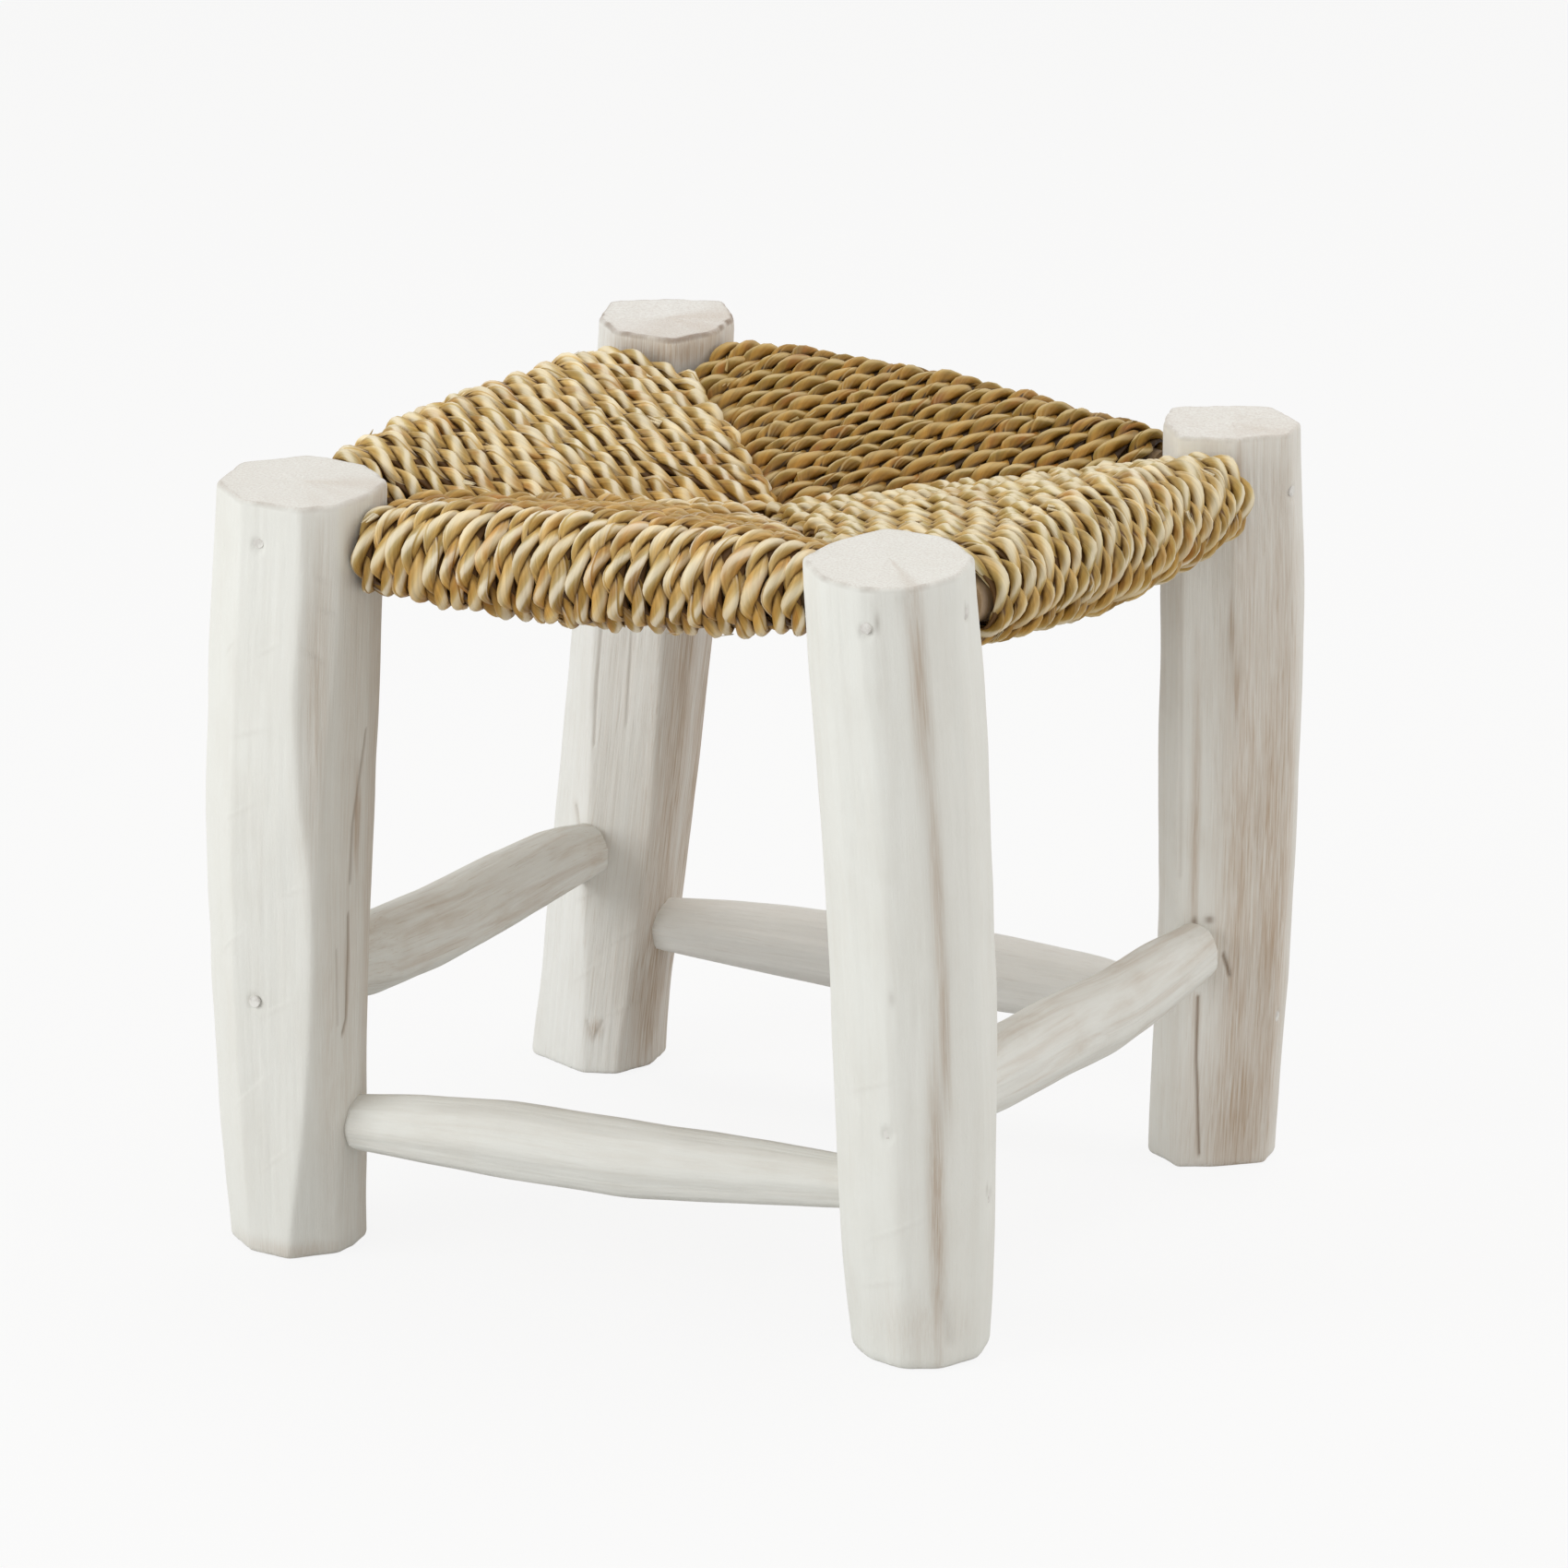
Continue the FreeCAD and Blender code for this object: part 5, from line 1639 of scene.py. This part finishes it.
def make_legs() -> dict[str, Leg]:
    """The four legs by the letters FL, FR, RR and RL."""
    return {
        "FL": Leg(
            "leg_front_left", (-1, -1), 36.5, 1.0, (0.27, -0.18), (0.02, -0.11), -0.10,
            (0.79, 0.85, 0.93, 1.00, 1.00, 0.96),
            ((-150, 1.00), (-105, 0.97), (-60, 1.08), (-36, 1.04), (0, 0.95), (30, 1.00),
             (72, 1.00), (118, 1.04), (165, 1.08)),
            Hewing(
                3, soften=2.2,
                cracks=(
                    Crack(((228, 1), (206, -5), (189, -10), (164, -12)), 0.9, 0.5, 0.45),
                    Crack(((150, -14), (129, -14), (104, -15), (98, -19)), 0.8, 0.6, 0.6),
                    Crack(((136, -26), (103, -24)), 0.7, 0.35, 0.2),
                ),
                smudges=(
                    # The two wide bare spots on the right-facing side are thin wash and painted
                    # shade on the leg's shaded side.
                    SmudgeAndShade(165, -12, 230, 12, bare=0.36), SmudgeAndShade(165, 20, 240, 14, bare=0.62),
                    SmudgeAndShade(250, -44, 70, 6, bare=0.5), SmudgeAndShade(110, -30, 90, 8, bare=0.35),
                    SmudgeAndShade(190, -6, 26, 3.0, brown=0.14, bare=0.9),
                    SmudgeAndShade(125, -15, 30, 2.5, brown=0.12, bare=0.8),
                    SmudgeAndShade(3, -60, 4, 40, brown=0.08, bare=0.4),
                ),
                notches=(
                    Notch(267, -78, 5, 14, 0.5, 0.6), Notch(265, -112, 4, 10, 0.4, 0.8),
                    Notch(137, -110, 8, 16, 0.7, 0.7), Notch(72, -96, 9, 16, 0.7, 0.8),
                    Notch(163, -58, 5, 10, 0.6, 0.4), Notch(196, -97, 7, 18, 0.4, 0.6),
                    Notch(110, -72, 7, 14, 0.5, 0.5), Notch(43, -76, 8, 14, 0.5, 0.7),
                    Notch(230, -92, 8, 20, 0.35, 0.3), Notch(266, -48, 4, 10, 0.6, -0.6),
                    Notch(299, -44, 3, 8, 0.5, -0.5), Notch(285, -40, 4, 9, 0.5, -0.4),
                )),
            Limewash("limewash_leg_front_left", thin=0.04, grain=0.06),
            paths={
                2: ((0.0, -67, 1.06), (0.07, -61, 1.08), (0.17, -53, 1.08), (0.29, -47, 1.08),
                    (0.4, -46, 1.08), (0.53, -48, 1.08), (0.6, -54, 1.08), (0.66, -57, 1.08),
                    (0.77, -58, 1.08), (1.0, -59, 1.08)),
                3: ((0.0, -22, 0.99), (0.3, -24, 0.99), (0.44, -34, 1.02), (0.5, -41, 1.05),
                    (0.57, -42, 1.06), (0.66, -40, 1.05), (0.74, -34, 1.04), (0.83, -32, 1.04),
                    (1.0, -34, 1.04)),
                5: ((0.0, 30, 0.99), (0.05, 30, 0.97), (0.25, 30, 0.92), (0.6, 30, 0.93),
                    (0.8, 30, 0.97), (1.0, 30, 1.0)),
                6: ((0.0, 72, 0.99), (0.25, 72, 0.96), (0.6, 72, 0.97), (1.0, 72, 1.0)),
            }),
        "FR": Leg(
            "leg_front_right", (1, -1), 35.4, 1.006, (-0.02, 0.00), (0.31, 0.32), 0.09,
            (0.80, 0.87, 0.94, 0.97, 1.00, 0.99),
            ((-150, 1.00), (-108, 1.07), (-76, 1.17), (-48, 1.14), (-12, 1.02), (30, 1.00),
             (75, 1.00), (120, 1.10), (168, 0.86)),
            Hewing(
                5, soften=4.5,
                cracks=(
                    Crack(((327, -51), (312, -46), (288, -46), (253, -46), (217, -45), (168, -42),
                           (132, -45), (84, -52), (33, -50), (12, -43)), 3.2, 1.1, 0.10),
                ),
                smudges=(
                    SmudgeAndShade(290, -47, 45, 3.6, brown=0.10, bare=0.75),
                    SmudgeAndShade(200, -44, 60, 3.0, brown=0.08, bare=0.6),
                    SmudgeAndShade(150, -43, 40, 2.6, brown=0.12, bare=0.7),
                    SmudgeAndShade(70, -51, 60, 3.2, brown=0.12, bare=0.85),
                    SmudgeAndShade(318, -69, 4, 1.0, grey=0.6), SmudgeAndShade(316, -2, 3, 1.2, grey=0.5),
                    SmudgeAndShade(73, -6, 2.5, 1.2, grey=0.4), SmudgeAndShade(18, -60, 14, 22, bare=0.25),
                    SmudgeAndShade(160, -75, 3, 1.2, grey=0.3),
                ),
                notches=(
                    Notch(60, -80, 12, 30, 0.5, 0.5), Notch(120, -95, 10, 24, 0.35, 0.4),
                    Notch(35, -95, 9, 18, 0.4, 0.3),
                )),
            Limewash("limewash_leg_front_right", wash=(0.86, 0.87, 0.835), thin=0.05, grain=0.05),
            paths={
                0: ((0.0, -150, 1.06), (0.25, -150, 1.08), (0.5, -150, 1.02), (1.0, -150, 1.0)),
                5: ((0.0, 30, 0.95), (0.2, 30, 0.95), (0.4, 30, 0.97), (1.0, 30, 1.0)),
            }, foot_ease=3.5),
        "RR": Leg(
            "leg_rear_right", (1, 1), 31.5, 0.992, (0.43, -0.23), (0.25, -0.13), 0.10,
            (0.87, 0.91, 0.94, 1.00, 1.02, 0.95),
            ((-150, 0.96), (-110, 1.02), (-60, 0.76), (-6, 0.98), (30, 0.98), (80, 0.98),
             (120, 0.80), (168, 1.14)),
            Hewing(
                7, soften=2.6,
                cracks=(
                    Crack(((78, -88), (50, -86), (6, -79)), 0.8, 0.6, 0.7),
                    Crack(((97, -64), (88, -56)), 1.2, 0.7, 0.7),
                    Crack(((276, -108), (200, -107), (132, -106)), 0.6, 0.3, 0.12),
                ),
                smudges=(
                    SmudgeAndShade(120, -46, 180, 15, bare=0.8), SmudgeAndShade(120, -15, 200, 16, bare=0.85),
                    SmudgeAndShade(244, -64, 18, 2.2, brown=0.12, bare=0.9),
                    SmudgeAndShade(215, -58, 20, 2.6, brown=0.14, bare=0.9),
                    SmudgeAndShade(153, -30, 22, 2.4, brown=0.10, bare=0.8),
                    SmudgeAndShade(111, -26, 14, 2.0, brown=0.10, bare=0.7),
                    SmudgeAndShade(300, -56, 24, 3.0, brown=0.06, bare=0.9),
                    SmudgeAndShade(150, -95, 60, 2.0, brown=0.05, bare=0.8),
                    SmudgeAndShade(25, -35, 45, 26, brown=0.11, bare=0.9),
                    SmudgeAndShade(112, -94, 2.2, 1.3, brown=0.7), SmudgeAndShade(113, -80, 1.6, 2.6, brown=0.75),
                )),
            Limewash("limewash_leg_rear_right", wash=(0.86, 0.86, 0.825), thin=0.12, grain=0.25),
            paths={
                0: ((0.0, -150, 1.02), (0.3, -150, 0.98), (1.0, -150, 0.96)),
                1: ((0.0, -98, 1.0), (0.1, -99, 1.01), (0.3, -106, 1.02), (0.5, -109, 1.02),
                    (1.0, -110, 1.02)),
            }, rim_line=0.2),
        "RL": Leg(
            "leg_rear_left", (-1, 1), 31.0, 1.02, (0.32, 0.25), (-0.42, -0.65), 0.03,
            (0.96, 0.92, 0.96, 0.99, 1.00, 0.99),
            ((-150, 0.98), (-108, 1.00), (-60, 1.12), (-14, 0.98), (30, 0.98), (74, 1.14),
             (120, 0.90), (166, 1.14)),
            Hewing(
                9, soften=2.4, fibre=0.16,
                cracks=(
                    Crack(((210, -96), (178, -95), (150, -92)), 0.7, 0.7, 0.2),
                    Crack(((250, -88), (205, -86)), 0.6, 0.5, 0.2),
                    Crack(((240, -70), (160, -64)), 0.6, 0.4, 0.15),
                    Crack(((120, -112), (112, -104), (108, -98)), 1.0, 0.7, 0.25),
                    Crack(((24, -72), (16, -64), (24, -58)), 0.9, 0.5, 0.2),
                ),
                smudges=(
                    # The wide bare spots on the right-facing side, and the low one, are thin wash
                    # and painted shade on the leg's shaded inner side.
                    SmudgeAndShade(165, -15, 260, 15, brown=0.03, bare=0.85),
                    SmudgeAndShade(165, 30, 260, 16, bare=0.9),
                    SmudgeAndShade(45, -10, 60, 17, brown=0.12, bare=1.0),
                    SmudgeAndShade(200, -75, 130, 13, bare=0.2), SmudgeAndShade(40, -50, 30, 12, bare=0.2),
                    SmudgeAndShade(21, -64, 5, 4.5, brown=0.12, bare=0.5, depth=-0.7),
                    SmudgeAndShade(330, -60, 8, 34, brown=0.05, bare=0.8),
                ),
                notches=(
                    Notch(62, -50, 8, 12, 0.5, 0.6), Notch(30, -40, 8, 12, 0.5, 0.4),
                    Notch(45, -80, 8, 14, 0.5, 0.7), Notch(80, -88, 6, 12, 0.4, 0.5),
                )),
            Limewash("limewash_leg_rear_left", wash=(0.87, 0.875, 0.85), thin=0.06, grain=0.32),
            paths={
                1: ((0.0, -72, 0.98), (0.2, -84, 1.0), (0.4, -94, 1.0), (0.57, -103, 1.0),
                    (1.0, -108, 1.0)),
                2: ((0.0, -44, 1.10), (0.2, -37, 1.10), (0.33, -35, 1.10), (0.55, -43, 1.12),
                    (0.85, -50, 1.12), (1.0, -57, 1.12)),
                3: ((0.0, -8, 1.02), (0.6, -10, 1.04), (1.0, -14, 0.98)),
                4: ((0.0, 30, 1.07), (0.2, 30, 1.09), (0.6, 30, 1.08), (0.85, 30, 1.02),
                    (1.0, 30, 0.98)),
            }, rim_line=0.75),
    }


def make_stretchers(legs: dict[str, Leg]) -> list[Stretcher]:
    """The four stretchers between the legs."""
    return [
        Stretcher("stretcher_front", legs["FL"], legs["FR"], (52.0, 66.0), 17.0, (0.0, 0.0),
                  ((0.0, 0.72, 0.0, 0.10), (0.12, 0.86, 0.0, 0.12), (0.3, 1.02, 0.0, 0.10),
                   (0.55, 1.02, 0.0, -0.05), (0.8, 0.84, 0.0, 0.0), (1.0, 0.66, 0.0, 0.0)),
                  ROUND_STICK, Hewing(13, soften=7.0, scoop=0.4),
                  Limewash("limewash_stretcher_front", thin=0.1)),
        Stretcher("stretcher_right", legs["FR"], legs["RR"], (101.5, 98.0), 18.5, (0.15, 0.0),
                  ((0.0, 0.84, 0.0, 0.0), (0.12, 0.98, 0.0, 0.0), (0.35, 1.00, 0.0, -0.05),
                   (0.6, 0.99, 0.0, -0.20), (0.82, 0.92, 0.0, -0.06), (1.0, 0.76, 0.0, 0.0)),
                  FLAT_STICK, Hewing(15, soften=7.0, scoop=0.4),
                  Limewash("limewash_stretcher_right", thin=0.35)),
        Stretcher("stretcher_rear", legs["RR"], legs["RL"], (66.0, 64.0), 18.5, (0.0, 0.0),
                  ((0.0, 0.60, 0.0, 0.0), (0.12, 0.86, 0.0, 0.0), (0.35, 1.00, 0.0, 0.05),
                   (0.6, 0.98, 0.0, 0.0), (0.85, 0.84, 0.0, 0.05), (1.0, 0.70, 0.0, 0.0)),
                  ROUND_STICK, Hewing(17, soften=7.0, scoop=0.6, fibre=0.16),
                  Limewash("limewash_stretcher_rear", wash=(0.90, 0.90, 0.875), thin=0.05,
                           grain=0.22)),
        Stretcher("stretcher_left", legs["RL"], legs["FL"], (99.0, 112.0), 19.5, (0.0, 0.0),
                  ((0.0, 0.74, 0.0, 0.0), (0.12, 0.90, 0.0, 0.05), (0.35, 1.00, 0.0, -0.05),
                   (0.6, 1.02, 0.0, -0.20), (0.85, 1.02, 0.0, -0.15), (1.0, 0.72, 0.0, -0.05)),
                  FLAT_STICK, Hewing(19, soften=6.0, scoop=0.5, fibre=0.14),
                  Limewash("limewash_stretcher_left", thin=0.35, grain=0.6)),
    ]


def make_seat(legs: dict[str, Leg]) -> Seat:
    """The seat with its four panels and the order of their layers at the mitres."""
    top = legs["FL"].full_height

    def rail(name: str, ends: tuple[str, str], drops: tuple[float, float], radius: float,
             rises: tuple[float, float], outward: tuple[float, float] = (0.0, 0.0)) -> Rail:
        levels = (top - drops[0], top - drops[1])
        return Rail("rail_" + name, legs[ends[0]], legs[ends[1]], levels, radius, outward,
                    nail_rises=rises)

    front = rail("front", ("FL", "FR"), (26.0, 14.0), 16.0, (-2.0, -4.4))
    right = rail("right", ("FR", "RR"), (22.0, 28.0), 18.0, (4.8, -4.0), (0.30, 0.25))
    rear = rail("rear", ("RR", "RL"), (32.0, 16.0), 15.5, (4.8, 4.0))
    left = rail("left", ("RL", "FL"), (18.0, 14.0), 15.5, (-4.4, -4.8))
    panels = [
        # Front panel: its upper runs get painted shade.
        Panel("seat_cord_front", front, (Layer.OVER, Layer.UNDER),
              PalmLeaf("palm_front", straw=(0.82, 0.68, 0.42), olive=(0.60, 0.47, 0.22),
                       brown=(0.61, 0.38, 0.15), skin_and_highlight=(0.96, 0.88, 0.71)), 101,
              pitch=33.0, run_shade_share=0.85),
        Panel("seat_cord_right", right, (Layer.OVER, Layer.OVER),
              PalmLeaf("palm_right", straw=(0.80, 0.68, 0.44), olive=(0.57, 0.46, 0.21),
                       brown=(0.58, 0.37, 0.15), skin_and_highlight=(0.92, 0.84, 0.66)), 102),
        # Rear panel: a darker copy of the palm leaf, as painted shade.
        Panel("seat_cord_rear", rear, (Layer.UNDER, Layer.UNDER),
              PalmLeaf("palm_rear_shaded", straw=(0.48, 0.31, 0.095), olive=(0.31, 0.205, 0.045),
                       brown=(0.37, 0.165, 0.03), gap=(0.05, 0.025, 0.007),
                       skin_and_highlight=(0.70, 0.54, 0.28)), 103),
        Panel("seat_cord_left", left, (Layer.OVER, Layer.UNDER), PalmLeaf("palm_left"), 104),
    ]
    return Seat(panels, list(legs.values()), TwistedCord())


def dress_frame(nodes: dict[str, bpy.types.Object], limewash: bpy.types.NodeTree) -> None:
    """Give the rails and nails, which stay as CAD nodes, their finishes; rails get painted shade.
    """
    # Dark wash on the rails: painted shade, seen through the gaps between the courses.
    wood = Limewash("limewash_rail", wash=(0.40, 0.28, 0.16), thin=0.8)
    finishes = {"rail": wood.make(limewash, on_frame=True), "nail": PaintedSteel().make()}
    for name, node in nodes.items():
        finish = finishes.get(name.split("_")[0])
        if finish:
            node.data.materials.clear()
            node.data.materials.append(finish)
    LOG.info("rails and nails dressed")


def main() -> None:
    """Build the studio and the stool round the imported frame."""
    logging.basicConfig(level=logging.INFO, format="%(name)s: %(message)s")
    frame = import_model()
    Studio([
        Lamp("key", (-0.574, -0.819, 0.40), 2.4, 1.6, 24.0, (0.98, 1.0, 1.0)),
        Lamp("fill", (0.95, 0.10, 0.35), 2.6, 1.8, 11.5, (1.0, 0.98, 0.95)),
        Lamp("top", (0.1, 0.35, 1.0), 2.4, 1.8, 16.0, (1.0, 0.99, 0.98)),
    ]).make()
    limewash, palm = limewash_group(), palm_group()
    legs = make_legs()
    stretchers, seat = make_stretchers(legs), make_seat(legs)
    for stick in [*stretchers, *(panel.rail for panel in seat.panels)]:
        stick.mark_nails()
    for leg in legs.values():
        leg.make(limewash)
    for stretcher in stretchers:
        stretcher.make(limewash)
    seat.make(palm)
    dress_frame(frame["nodes"], limewash)
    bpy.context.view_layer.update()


if __name__ == "__main__":
    main()
